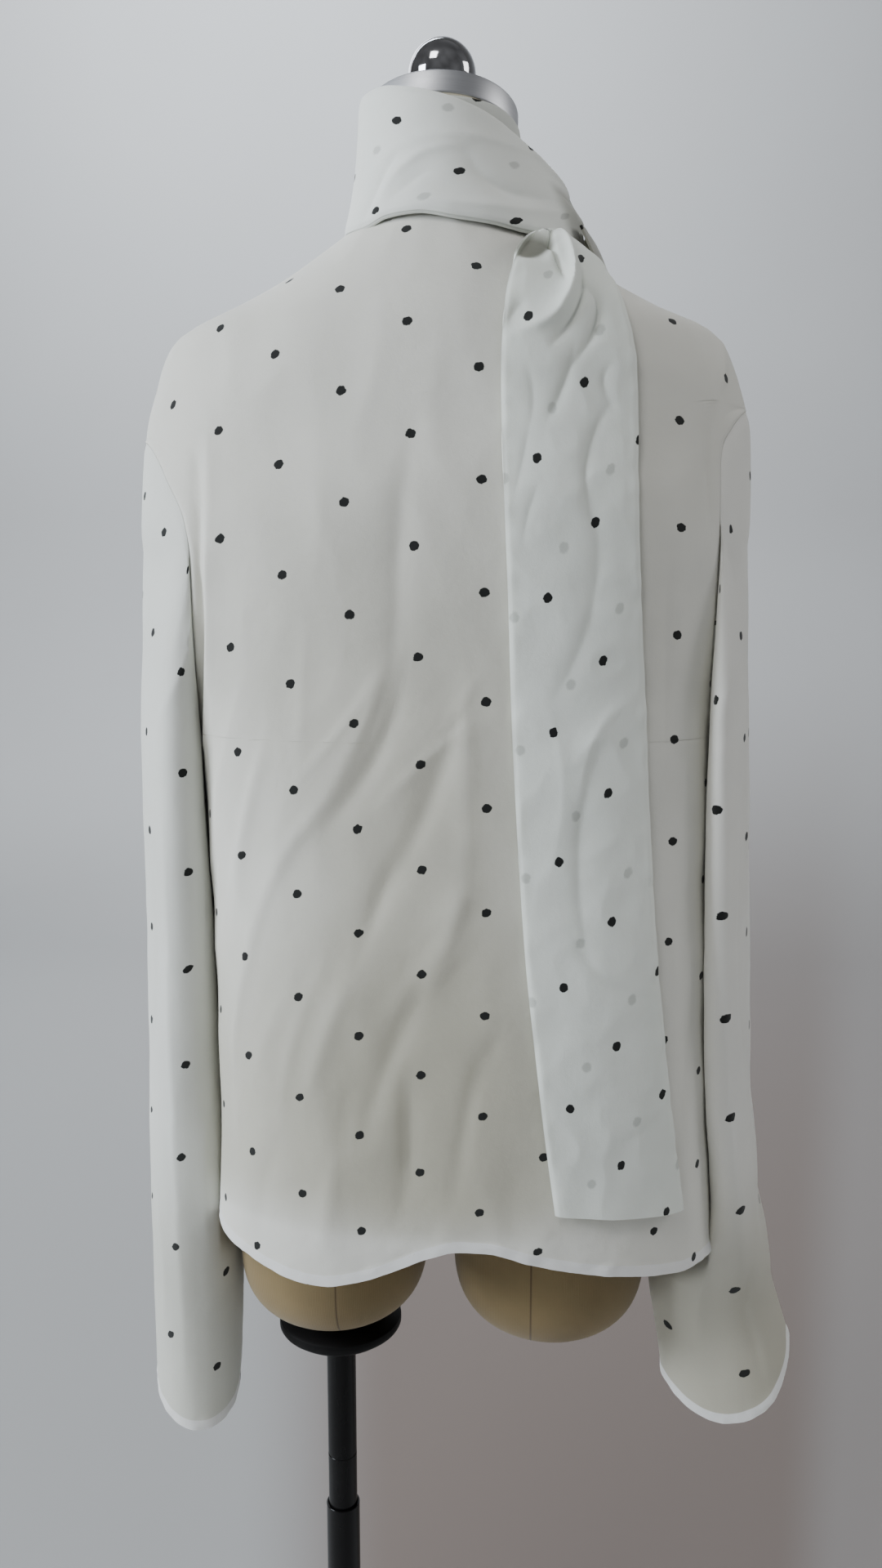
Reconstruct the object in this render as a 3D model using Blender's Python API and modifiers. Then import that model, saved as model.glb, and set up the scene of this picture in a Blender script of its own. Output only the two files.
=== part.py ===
"""Polka-dot blouse with a wrapped scarf collar, dressed on a half-body dress form and its stand.

Blender 4.5, metres, +Z up. The origin lies on the floor under the middle of the neck. The
blouse's front faces -Y, its back faces +Y, and the wearer's left is +X.
"""

import math

import bpy
import numpy as np
from mathutils import Vector

COLLECTION = "blouse_on_dress_form"

# Cloth
CLOTH_WALL = 0.0015
SCARF_WALL = 0.0025
TAIL_WALL = 0.0020
SEAM_GAP = 0.0004

# Rows and columns of the cloth's meshes
BACK_COLUMNS = 22
FRONT_COLUMNS = 17
EDGE_COLUMN = 0.012
SLEEVE_CAP_RINGS = 6
CUFF_RINGS = 4
WRAP_COLUMNS = 40
WRAP_ROWS = 6
COWL_COLUMNS = 22
COWL_ROWS = 5
TAIL_COLUMNS = 9
TAIL_ROWS = 30
TAIL_ROW_CROWDING = 0.55
ARC_SAMPLES = 240

# Torso of the blouse
ARMHOLE_FLOOR = 1.113
HEM_BLEND_HEIGHT = 0.98
HEM_HEIGHT = 0.760
SEAM_CALM = 0.018
FOLD_FADE = 0.85
SLOPE_STEP = 0.001

# Sleeves
SLEEVE_ROWS = (1.10, 1.04, 0.98, 0.92, 0.86, 0.80, 0.77, 0.748)
SLEEVE_POWER = 2.3
SLEEVE_CLEARANCE = 0.0025
CUFF_BLEND_HEIGHT = 0.74
CUFF_TOP_RING = 0.722
CUFF_ROUNDING = 0.020
SLIT_RISE = 0.060
SLIT_REACH = 0.15
SLIT_POWER = 2.2
QUARTER = 0.25

# Dress form and stand
FORM_COLUMNS = 28
FORM_POWER = 2.2
ROUND_SEGMENTS = 32
NECK_TILT = math.radians(12.0)
NECK_TILT_FROM = 1.46
STUB_X = 0.0795
STUB_FLOOR = 0.672
STUB_SEGMENTS = 28
PLATE_RADIUS = 0.0503
PLATE_THICKNESS = 0.015
PLATE_BEVEL = 0.0015
PLATE_TOP = 1.513
PART_GAP = 0.0003
POLE_X = 0.0765
POLE_RADIUS = 0.011
POLE_FOOT = 0.20
FLANGE_RADIUS = 0.046
FLANGE_DEPTH = 0.0207
TUBE_RADIUS = 0.0128
TUBE_BORE = 0.0114
TUBE_TOP = 0.515
TUBE_FLOOR = 0.050
BASE_RADIUS = 0.205
BASE_EDGE = 0.010
BASE_TOP = 0.030
FLANGE_TOP = STUB_FLOOR - PART_GAP
POLE_TOP = FLANGE_TOP - FLANGE_DEPTH - PART_GAP
TUBE_FOOT = BASE_TOP + PART_GAP


def tangents(keys, values):
    """Slopes of a smooth curve through a table's rows that never overshoots them."""
    steps = np.diff(keys)
    rises = np.diff(values) / steps
    slopes = np.zeros(len(keys))
    slopes[0] = rises[0]
    slopes[-1] = rises[-1]
    for i in range(1, len(keys) - 1):
        if rises[i - 1] * rises[i] > 0.0:
            near = 2.0 * steps[i] + steps[i - 1]
            far = steps[i] + 2.0 * steps[i - 1]
            slopes[i] = (near + far) / (near / rises[i - 1] + far / rises[i])
    return slopes


class Table:
    """Rows of sizes under named columns, read smoothly along the first column."""

    def __init__(self, names, *rows):
        ordered = np.array(sorted(rows), dtype=float)
        self.keys = ordered[:, 0]
        self.values = {name: ordered[:, i] for i, name in enumerate(names.split())}
        self.slopes = {name: tangents(self.keys, column) for name, column in self.values.items()}

    def read(self, name, key):
        """The column's value at `key`, held level past the table's ends."""
        key = np.clip(key, self.keys[0], self.keys[-1])
        i = np.clip(np.searchsorted(self.keys, key) - 1, 0, len(self.keys) - 2)
        step = self.keys[i + 1] - self.keys[i]
        t = (key - self.keys[i]) / step
        value = self.values[name]
        slope = self.slopes[name]
        rise = t * t * (3.0 - 2.0 * t)
        start_pull = t * (1.0 - t) ** 2 * step * slope[i]
        end_pull = t * t * (t - 1.0) * step * slope[i + 1]
        return value[i] * (1.0 - rise) + value[i + 1] * rise + start_pull + end_pull


# Cross-section of the dressed torso: half widths to the wearer's left and right, depths to the
# back and front, and the power of the superellipse, which squares the corners below the arms.
TORSO = Table(
    "height left right back front power",
    (1.4365, 0.0600, 0.0600, 0.0585, 0.0615, 2.00),
    (1.4250, 0.0780, 0.0790, 0.0665, 0.0715, 2.00),
    (1.4110, 0.1005, 0.1015, 0.0745, 0.0795, 2.00),
    (1.3900, 0.1390, 0.1405, 0.0855, 0.0865, 2.00),
    (1.3710, 0.1770, 0.1785, 0.0945, 0.0895, 2.05),
    (1.3600, 0.1880, 0.1880, 0.0975, 0.0915, 2.05),
    (1.3400, 0.1970, 0.1960, 0.1015, 0.0945, 2.10),
    (1.3065, 0.2045, 0.2035, 0.1055, 0.0995, 2.15),
    (1.2500, 0.2055, 0.2055, 0.1135, 0.1135, 2.30),
    (1.2000, 0.1915, 0.1965, 0.1115, 0.1295, 2.50),
    (1.1330, 0.1645, 0.1855, 0.1075, 0.1295, 2.80),
    (1.0500, 0.1575, 0.1845, 0.1085, 0.1235, 3.00),
    (0.9500, 0.1535, 0.1865, 0.1155, 0.1215, 3.00),
    (0.8600, 0.1535, 0.1895, 0.1195, 0.1235, 3.00),
    (0.7600, 0.1585, 0.1955, 0.1185, 0.1275, 3.00),
)

# Armhole seams: how far out the panels reach at each height.
ARMHOLE_LEFT = Table(
    "height reach",
    (1.3075, 0.2043),
    (1.3020, 0.1921),
    (1.2920, 0.1815),
    (1.2760, 0.1709),
    (1.2510, 0.1565),
    (1.2255, 0.1521),
    (1.1840, 0.1527),
    (1.1340, 0.1572),
    (1.1130, 0.1621),
)
ARMHOLE_RIGHT = Table(
    "height reach",
    (1.3235, 0.2005),
    (1.3150, 0.1930),
    (1.2980, 0.1835),
    (1.2670, 0.1785),
    (1.2180, 0.1770),
    (1.1680, 0.1760),
    (1.1340, 0.1785),
    (1.1130, 0.1848),
)

# Heights of the torso's rows, closer together where the armholes begin and end.
TORSO_ROWS = (
    1.4365, 1.4270, 1.4150, 1.4020, 1.3870, 1.3710, 1.3550, 1.3390,
    1.3235, 1.3195, 1.3130, 1.3075, 1.3055, 1.3020, 1.2960, 1.2860, 1.2710, 1.2510,
    1.2280, 1.2020, 1.1740, 1.1500, 1.1320, 1.1190, 1.1130,
    1.0880, 1.0580, 1.0240, 0.9900, 0.9550, 0.9200, 0.8850, 0.8500, 0.8150, 0.7850, 0.7600,
)

# Hem heights across the panels, from the wearer's left (+) to the right (-).
BACK_HEM = Table(
    "x height",
    (0.157, 0.7680),
    (0.132, 0.7665),
    (0.106, 0.7600),
    (0.071, 0.7555),
    (0.043, 0.7610),
    (0.022, 0.7690),
    (-0.002, 0.7800),
    (-0.021, 0.7850),
    (-0.042, 0.7845),
    (-0.063, 0.7790),
    (-0.094, 0.7720),
    (-0.126, 0.7670),
    (-0.171, 0.7600),
    (-0.194, 0.7570),
)
FRONT_HEM = Table(
    "x height",
    (0.157, 0.7680),
    (0.080, 0.7580),
    (-0.010, 0.7560),
    (-0.110, 0.7540),
    (-0.194, 0.7570),
)

# Soft folds in the back: each runs from top through middle to low, ridges standing out and
# troughs (minus) sinking in.
BACK_FOLDS = (
    "top_x top_z mid_x mid_z low_x low_z width height",
    (0.013, 1.300, 0.014, 1.240, 0.017, 1.172, 0.020, -0.0035),
    (0.016, 1.185, 0.032, 1.132, 0.067, 1.066, 0.018, -0.0045),
    (-0.006, 1.275, -0.008, 1.220, -0.009, 1.150, 0.016, 0.0015),
    (-0.024, 1.160, 0.018, 1.042, 0.083, 0.884, 0.015, 0.0035),
    (0.025, 1.112, 0.027, 1.030, 0.062, 0.948, 0.015, -0.0030),
    (-0.025, 1.085, -0.018, 1.000, 0.040, 0.893, 0.015, 0.0035),
    (-0.046, 1.080, -0.033, 1.010, -0.003, 0.953, 0.014, -0.0030),
    (-0.057, 0.975, -0.035, 0.890, -0.022, 0.812, 0.015, 0.0025),
    (-0.012, 0.945, 0.014, 0.868, 0.020, 0.785, 0.017, -0.0045),
    (0.100, 1.130, 0.122, 1.030, 0.136, 0.915, 0.016, 0.0025),
    (0.073, 1.068, 0.108, 1.000, 0.133, 0.885, 0.014, -0.0030),
)

# Sleeves below the armhole: where each ring's middle hangs, its half depth fore and aft, its
# half width across, and how far its back end is turned outward (plus) or inward (minus).
SLEEVE_LEFT = Table(
    "height x y deep wide turn",
    (1.100, 0.1911, 0.006, 0.0757, 0.0194, -18.0),
    (0.985, 0.1906, 0.004, 0.0684, 0.0228, -18.0),
    (0.890, 0.1903, 0.002, 0.0624, 0.0258, -17.0),
    (0.800, 0.1885, 0.000, 0.0552, 0.0300, -16.0),
    (0.700, 0.1855, -0.002, 0.0475, 0.0340, -16.0),
    (0.590, 0.1880, -0.004, 0.0450, 0.0320, -16.0),
)
SLEEVE_RIGHT = Table(
    "height x y deep wide turn",
    (1.100, -0.2000, 0.000, 0.0770, 0.0110, -12.0),
    (0.985, -0.2030, 0.000, 0.0725, 0.0130, -12.0),
    (0.870, -0.2056, 0.000, 0.0670, 0.0156, -10.0),
    (0.790, -0.2110, 0.000, 0.0600, 0.0185, -9.0),
    (0.745, -0.2070, 0.000, 0.0490, 0.0330, -8.0),
    (0.705, -0.1996, 0.000, 0.0365, 0.0437, -8.0),
    (0.665, -0.2067, 0.000, 0.0300, 0.0490, -8.0),
    (0.613, -0.2085, 0.000, 0.0310, 0.0470, -8.0),
)

# Scarf wrapped round the neck. The angle runs from the middle of the back (0) over the
# wearer's right (90) and the front (180) to the left (270).
WRAP = Table(
    "angle low_radius low_height high_radius high_height",
    (-85.0, 0.0632, 1.4371, 0.0535, 1.5190),
    (-40.0, 0.0770, 1.4321, 0.0535, 1.5165),
    (5.0, 0.0800, 1.4309, 0.0535, 1.5090),
    (50.0, 0.0860, 1.4270, 0.0535, 1.5015),
    (75.0, 0.0905, 1.4310, 0.0535, 1.5000),
    (95.0, 0.0945, 1.4390, 0.0540, 1.5020),
    (115.0, 0.0980, 1.4350, 0.0560, 1.5000),
    (150.0, 0.1030, 1.4180, 0.0580, 1.4960),
    (185.0, 0.0980, 1.4080, 0.0590, 1.4930),
    (230.0, 0.0840, 1.4300, 0.0570, 1.5050),
    (275.0, 0.0632, 1.4371, 0.0535, 1.5190),
)
WRAP_START = -85.0
WRAP_BOW = 0.0010
WRAP_FOLDS = (
    "top_angle top_rise mid_angle mid_rise low_angle low_rise width height",
    (55.0, 0.80, 0.0, 0.62, -52.0, 0.10, 0.16, 0.0030),
    (70.0, 0.45, 20.0, 0.38, -30.0, 0.05, 0.14, -0.0020),
)
WRAP_TURN = 200.0

# Scarf crossing the front below the wrap and up over the wearer's right shoulder: heights on
# the torso's surface of its two edges, and how far they stand off it.
COWL = Table(
    "angle low_height low_lift high_height high_lift",
    (92.0, 1.4070, 0.0040, 1.4200, 0.0090),
    (110.0, 1.3900, 0.0037, 1.4190, 0.0085),
    (135.0, 1.3690, 0.0035, 1.4140, 0.0070),
    (160.0, 1.3480, 0.0033, 1.4030, 0.0060),
    (185.0, 1.3380, 0.0033, 1.3960, 0.0055),
    (210.0, 1.3520, 0.0033, 1.4040, 0.0055),
    (232.0, 1.3850, 0.0033, 1.4170, 0.0050),
    (245.0, 1.4080, 0.0033, 1.4210, 0.0045),
)
COWL_BOW = 0.004

# Scarf end hanging down the back: its edges across the back panel at each height, and how far
# it stands off the panel.
TAIL = Table(
    "height left right lift",
    (1.4270, -0.0560, -0.0700, 0.0025),
    (1.4200, -0.0575, -0.0810, 0.0030),
    (1.4120, -0.0530, -0.0920, 0.0070),
    (1.4040, -0.0500, -0.0995, 0.0090),
    (1.3930, -0.0465, -0.1090, 0.0085),
    (1.3695, -0.0440, -0.1170, 0.0070),
    (1.3400, -0.0440, -0.1225, 0.0055),
    (1.3120, -0.0445, -0.1246, 0.0045),
    (1.2655, -0.0467, -0.1257, 0.0040),
    (1.1880, -0.0502, -0.1295, 0.0040),
    (1.1435, -0.0517, -0.1328, 0.0040),
    (1.0600, -0.0562, -0.1375, 0.0040),
    (0.9750, -0.0625, -0.1443, 0.0040),
    (0.9140, -0.0693, -0.1507, 0.0045),
    (0.8600, -0.0757, -0.1570, 0.0050),
    (0.8080, -0.0826, -0.1645, 0.0055),
)
TAIL_CROWN = 0.0010
TAIL_FOLDS = (
    "top_x top_z mid_x mid_z low_x low_z width height",
    (-0.080, 1.412, -0.090, 1.388, -0.060, 1.356, 0.011, 0.0075),
    (-0.094, 1.400, -0.094, 1.362, -0.072, 1.305, 0.008, -0.0030),
    (-0.098, 1.282, -0.098, 1.225, -0.080, 1.150, 0.013, 0.0030),
    (-0.118, 1.120, -0.100, 1.050, -0.098, 0.985, 0.014, 0.0025),
)

# Dress form: half width, depths to the back and front.
FORM = Table(
    "height half back front",
    (1.4980, 0.0490, 0.0490, 0.0490),
    (1.4700, 0.0495, 0.0500, 0.0500),
    (1.4420, 0.0530, 0.0530, 0.0530),
    (1.4290, 0.0620, 0.0560, 0.0590),
    (1.4150, 0.0860, 0.0660, 0.0700),
    (1.4000, 0.1130, 0.0740, 0.0760),
    (1.3800, 0.1500, 0.0820, 0.0800),
    (1.3640, 0.1740, 0.0880, 0.0830),
    (1.3450, 0.1800, 0.0910, 0.0860),
    (1.3100, 0.1780, 0.0940, 0.0920),
    (1.2700, 0.1670, 0.0980, 0.1000),
    (1.2200, 0.1440, 0.0980, 0.1150),
    (1.1600, 0.1400, 0.0920, 0.1120),
    (1.0800, 0.1280, 0.0850, 0.0950),
    (1.0300, 0.1220, 0.0850, 0.0900),
    (0.9600, 0.1300, 0.0950, 0.0950),
    (0.8800, 0.1400, 0.1050, 0.1030),
    (0.8300, 0.1430, 0.1040, 0.1020),
    (0.8000, 0.1400, 0.0900, 0.0900),
    (0.7850, 0.1200, 0.0650, 0.0650),
)
FORM_ROWS = (
    1.4980, 1.4700, 1.4420, 1.4290, 1.4150, 1.4000, 1.3800, 1.3640, 1.3450, 1.3100, 1.2700,
    1.2200, 1.1600, 1.0800, 1.0300, 0.9600, 0.8800, 0.8300, 0.8000, 0.7850,
)

# Outlines of turned pieces, as radius and height from the outer side's top to its bottom.
STUB_PROFILE = (
    (0.0, 0.850), (0.0640, 0.850), (0.0675, 0.790), (0.0675, 0.738), (0.0655, 0.716),
    (0.0595, 0.697), (0.0490, 0.682), (0.0360, 0.674), (0.0260, STUB_FLOOR), (0.0, STUB_FLOOR),
)
PLATE_PROFILE = (
    (0.0, PLATE_THICKNESS), (PLATE_RADIUS - PLATE_BEVEL, PLATE_THICKNESS),
    (PLATE_RADIUS, PLATE_THICKNESS - PLATE_BEVEL), (PLATE_RADIUS, 0.0), (0.0, 0.0),
)
KNOB_PROFILE = (
    (0.0, 0.0490), (0.0090, 0.0475), (0.0160, 0.0430), (0.0200, 0.0365), (0.0210, 0.0290),
    (0.0200, 0.0215), (0.0160, 0.0150), (0.0085, 0.0110), (0.0085, 0.0), (0.0, 0.0),
)
FLANGE_PROFILE = (
    (0.0, 0.0), (0.0300, 0.0), (0.0440, -0.0045), (FLANGE_RADIUS, -0.0065),
    (FLANGE_RADIUS, -0.0115), (0.0400, -0.0165), (0.0260, -0.0205), (0.0, -FLANGE_DEPTH),
)
POLE_PROFILE = ((0.0, POLE_TOP), (POLE_RADIUS, POLE_TOP), (POLE_RADIUS, POLE_FOOT), (0.0, POLE_FOOT))
TUBE_PROFILE = (
    (TUBE_BORE, TUBE_TOP), (TUBE_RADIUS, TUBE_TOP), (TUBE_RADIUS, TUBE_FOOT), (0.0, TUBE_FOOT),
    (0.0, TUBE_FLOOR), (TUBE_BORE, TUBE_FLOOR), (TUBE_BORE, TUBE_TOP),
)
BASE_PROFILE = (
    (0.0, BASE_TOP), (0.0260, BASE_TOP), (0.0300, 0.0260), (0.0340, 0.0170), (0.1850, 0.0120),
    (0.2010, BASE_EDGE), (BASE_RADIUS, 0.0050), (BASE_RADIUS, 0.0), (0.0, 0.0),
)


def clear_scene():
    """Remove everything the scene holds."""
    for old in list(bpy.data.objects):
        bpy.data.objects.remove(old, do_unlink=True)
    for old in list(bpy.data.collections):
        bpy.data.collections.remove(old)


def make_collection():
    """The collection that holds the model."""
    collection = bpy.data.collections.new(COLLECTION)
    bpy.context.scene.collection.children.link(collection)
    return collection


def make_material(name, colour, roughness, metallic=0.0):
    """A plain material of one colour."""
    material = bpy.data.materials.new(name)
    material.use_nodes = True
    shader = material.node_tree.nodes["Principled BSDF"]
    shader.inputs["Base Color"].default_value = (*colour, 1.0)
    shader.inputs["Roughness"].default_value = roughness
    shader.inputs["Metallic"].default_value = metallic
    return material


def mesh_object(collection, name, points, faces, material):
    """One smooth-shaded object made of the given points and faces."""
    mesh = bpy.data.meshes.new(name)
    mesh.from_pydata([tuple(point) for point in points], [], faces)
    mesh.materials.append(material)
    mesh.shade_smooth()
    piece = bpy.data.objects.new(name, mesh)
    collection.objects.link(piece)
    return piece


def grid_faces(rows, columns, closed):
    """Quads of a grid of points; a closed grid joins its last column to its first."""
    faces = []
    for row in range(rows - 1):
        for column in range(columns if closed else columns - 1):
            after = (column + 1) % columns
            here = row * columns
            below = here + columns
            faces.append((here + column, below + column, below + after, here + after))
    return faces


def cloth_object(collection, name, grid, wall, material, closed=False):
    """A sheet of cloth: the grid is its outer face, and the wall lies behind that."""
    rows, columns = grid.shape[:2]
    faces = grid_faces(rows, columns, closed)
    piece = mesh_object(collection, name, grid.reshape(-1, 3), faces, material)
    shell = piece.modifiers.new("wall", "SOLIDIFY")
    shell.thickness = wall
    shell.offset = -1.0
    shell.use_even_offset = True
    return piece


def turned_object(collection, name, profile, place, tilt, material, segments=ROUND_SEGMENTS):
    """A piece turned from a profile of radii and heights, set down at `place`."""
    mesh = bpy.data.meshes.new(name)
    points = [(radius, 0.0, height) for radius, height in profile]
    edges = [(i, i + 1) for i in range(len(points) - 1)]
    mesh.from_pydata(points, edges, [])
    mesh.materials.append(material)
    piece = bpy.data.objects.new(name, mesh)
    collection.objects.link(piece)
    screw = piece.modifiers.new("turn", "SCREW")
    screw.axis = "Z"
    screw.angle = math.tau
    screw.steps = segments
    screw.render_steps = segments
    screw.use_merge_vertices = True
    screw.merge_threshold = 0.0001
    screw.use_smooth_shade = True
    piece.location = place
    piece.rotation_euler = (tilt, 0.0, 0.0)
    return piece


def power_point(angle, across, along, power):
    """A point on a superellipse, `angle` round from its +across side."""
    cosine = np.cos(angle)
    sine = np.sin(angle)
    first = across * np.sign(cosine) * np.abs(cosine) ** (2.0 / power)
    second = along * np.sign(sine) * np.abs(sine) ** (2.0 / power)
    return first, second


def even_steps(points, fractions):
    """Points at the given fractions of a dense line's length."""
    lengths = np.linalg.norm(np.diff(points, axis=0), axis=1)
    travelled = np.concatenate(([0.0], np.cumsum(lengths)))
    wanted = np.asarray(fractions) * travelled[-1]
    return np.stack([np.interp(wanted, travelled, points[:, i]) for i in range(points.shape[1])], axis=1)


def column_fractions(columns):
    """Even fractions across a panel, with a narrow column beside each seam."""
    inner = np.linspace(EDGE_COLUMN, 1.0 - EDGE_COLUMN, columns - 2)
    return np.concatenate(([0.0], inner, [1.0]))


def panel_reach(side, height):
    """How far out the panels run on one side: to the shoulder, the armhole or the side seam."""
    seam = ARMHOLE_LEFT if side == "left" else ARMHOLE_RIGHT
    half = TORSO.read(side, height)
    if ARMHOLE_FLOOR < height < seam.keys[-1]:
        return min(half, seam.read("reach", height))
    return half


def end_angle(side, height):
    """The section's angle at which a panel ends."""
    half = TORSO.read(side, height)
    share = min(1.0, panel_reach(side, height) / half)
    return math.acos(share ** (TORSO.read("power", height) / 2.0))


def torso_row(height, face, fractions):
    """Points of one panel's row, from the wearer's left to the right; face is 1 back, -1 front."""
    first = end_angle("left", height)
    last = math.pi - end_angle("right", height)
    angle = np.linspace(first, last, ARC_SAMPLES)
    half = np.where(np.cos(angle) > 0.0, TORSO.read("left", height), TORSO.read("right", height))
    depth = TORSO.read("back" if face > 0 else "front", height)
    x, y = power_point(angle, half, depth, TORSO.read("power", height))
    return even_steps(np.stack((x, face * (y + SEAM_GAP / 2.0)), axis=1), fractions)


def segment_distance(x, z, start, end):
    """Distance from points to a straight stretch, and how far along it they lie."""
    run = np.subtract(end, start)
    along = ((x - start[0]) * run[0] + (z - start[1]) * run[1]) / (run @ run)
    along = np.clip(along, 0.0, 1.0)
    distance = np.hypot(x - start[0] - along * run[0], z - start[1] - along * run[1])
    return distance, along


def fold_height(x, z, folds):
    """How far the folds of a table stand out at points of a surface."""
    height = np.zeros(np.shape(x))
    for top_x, top_z, mid_x, mid_z, low_x, low_z, width, rise in folds[1:]:
        upper, upper_along = segment_distance(x, z, (top_x, top_z), (mid_x, mid_z))
        lower, lower_along = segment_distance(x, z, (mid_x, mid_z), (low_x, low_z))
        nearer = upper < lower
        distance = np.where(nearer, upper, lower)
        along = np.where(nearer, upper_along, 1.0 + lower_along) - 1.0
        profile = np.clip(1.0 - (distance / width) ** 2, 0.0, None) ** 2
        height = height + rise * profile * (1.0 - FOLD_FADE * along ** 4)
    return height


def hem_shift(x, height, hem):
    """Heights of a row once the rows below the waist are drawn to the hem's curve."""
    share = np.clip((HEM_BLEND_HEIGHT - height) / (HEM_BLEND_HEIGHT - HEM_HEIGHT), 0.0, 1.0)
    return height + share * share * (hem.read("height", x) - HEM_HEIGHT)


def section_normal(x, y, height):
    """Outward direction of the torso's section, in plan."""
    power = TORSO.read("power", height)
    half = np.where(x > 0.0, TORSO.read("left", height), TORSO.read("right", height))
    depth = np.where(y > 0.0, TORSO.read("back", height), TORSO.read("front", height))
    slope_x = np.sign(x) * np.abs(x / half) ** (power - 1.0) / half
    slope_y = np.sign(y) * np.abs(y / depth) ** (power - 1.0) / depth
    length = np.hypot(slope_x, slope_y)
    return slope_x / length, slope_y / length


def seam_calm(row):
    """1 over most of a row, falling to 0 at its ends so that seams stay matched."""
    to_left = np.linalg.norm(row - row[0], axis=1)
    to_right = np.linalg.norm(row - row[-1], axis=1)
    nearest = np.clip(np.minimum(to_left, to_right) / SEAM_CALM, 0.0, 1.0)
    return nearest * nearest * (3.0 - 2.0 * nearest)


def panel_grid(face, fractions, folds, hem):
    """Outer face of the back or the front panel, row by row."""
    grid = []
    for height in TORSO_ROWS:
        row = torso_row(height, face, fractions)
        x, y = row[:, 0], row[:, 1]
        z = hem_shift(x, height, hem)
        normal_x, normal_y = section_normal(x, y, height)
        rise = fold_height(x, z, folds) * seam_calm(row)
        grid.append(np.stack((x + rise * normal_x, y + rise * normal_y, z), axis=1))
    return np.array(grid)


def armhole_loop(back, front, side):
    """The armhole's edge: from its top down the back panel, then up the front panel."""
    column = 0 if side == "left" else -1
    top = (ARMHOLE_LEFT if side == "left" else ARMHOLE_RIGHT).keys[-1]
    rows = [i for i, height in enumerate(TORSO_ROWS) if ARMHOLE_FLOOR <= height <= top]
    down = back[rows, column]
    up = front[rows[::-1], column]
    return np.concatenate((down, up[1:-1]))


def sleeve_ring(table, sign, height, fractions):
    """A ring of a hanging sleeve, from its outer side over the back, inner side and front."""
    angle = np.linspace(0.0, math.tau, ARC_SAMPLES)
    wide, deep = table.read("wide", height), table.read("deep", height)
    across, along = power_point(angle, wide, deep, SLEEVE_POWER)
    ring = even_steps(np.stack((across, along), axis=1), fractions)
    turn = math.radians(table.read("turn", height))
    out = ring[:, 0] * math.cos(turn) + ring[:, 1] * math.sin(turn)
    back = ring[:, 1] * math.cos(turn) - ring[:, 0] * math.sin(turn)
    x = table.read("x", height) + sign * out
    y = table.read("y", height) + back
    return np.stack((x, y, np.full(len(x), height)), axis=1)


def cuff_rise(fractions, slit):
    """How far the cuff's edge rises above its lowest point round the sleeve."""
    rounding = CUFF_ROUNDING * (1.0 + np.cos(math.tau * fractions / (2.0 * QUARTER))) / 2.0
    away = np.abs((fractions - slit + 0.5) % 1.0 - 0.5)
    notch = np.clip(1.0 - away / SLIT_REACH, 0.0, None) ** SLIT_POWER
    return rounding + SLIT_RISE * notch


def clear_of_torso(ring, sign, gap):
    """Move a sleeve's points outward where they would come closer to the torso than `gap`."""
    x, y, z = ring.T
    half = TORSO.read("left" if sign > 0.0 else "right", z)
    depth = np.where(y > 0.0, TORSO.read("back", z), TORSO.read("front", z))
    power = TORSO.read("power", z)
    share = np.clip(1.0 - np.abs(y / depth) ** power, 0.0, 1.0)
    limit = half * share ** (1.0 / power) + gap
    return np.stack((sign * np.maximum(sign * x, limit), y, z), axis=1)


def sleeve_cap(start, first, sign):
    """Rings from the armhole to the first hanging ring, which they meet hanging plumb."""
    rings = []
    plumb = (first - start) * (0.0, 0.0, 1.0)
    for share in np.linspace(0.0, 1.0, SLEEVE_CAP_RINGS, endpoint=False):
        rise = share * share * (3.0 - 2.0 * share)
        leave = share * (1.0 - share) ** 2
        arrive = share * share * (share - 1.0)
        ring = start + rise * (first - start) + leave * (first - start) + arrive * plumb
        gap = SEAM_GAP + share * (SLEEVE_CLEARANCE - SEAM_GAP)
        rings.append(clear_of_torso(ring, sign, gap))
    return rings


def sleeve_grid(table, loop, sign, slit):
    """Outer face of a sleeve, from the armhole seam down to the cuff."""
    closed_loop = np.concatenate((loop, loop[:1]))
    lengths = np.linalg.norm(np.diff(closed_loop, axis=0), axis=1)
    fractions = (np.cumsum(lengths) - lengths) / lengths.sum()
    inward = loop.mean(axis=0) - loop
    inward[:, 0] = 0.0
    inward /= np.linalg.norm(inward, axis=1, keepdims=True)
    start = loop + SEAM_GAP * inward + np.array((sign * SEAM_GAP, 0.0, 0.0))
    hanging = []
    for height in SLEEVE_ROWS:
        ring = sleeve_ring(table, sign, height, fractions)
        hanging.append(clear_of_torso(ring, sign, SLEEVE_CLEARANCE))
    bottom = table.keys[0]
    rise = cuff_rise(fractions, slit)
    for height in np.linspace(CUFF_TOP_RING, bottom, CUFF_RINGS):
        ring = sleeve_ring(table, sign, height, fractions)
        ring[:, 2] += rise * (CUFF_BLEND_HEIGHT - height) / (CUFF_BLEND_HEIGHT - bottom)
        hanging.append(ring)
    return np.array(sleeve_cap(start, hanging[0], sign) + hanging)


def around(angle, radius, height):
    """Points round the neck: angle 0 is the middle of the back, 90 the wearer's right."""
    turn = np.radians(angle)
    return np.stack((-radius * np.sin(turn), radius * np.cos(turn), height), axis=-1)


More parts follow.
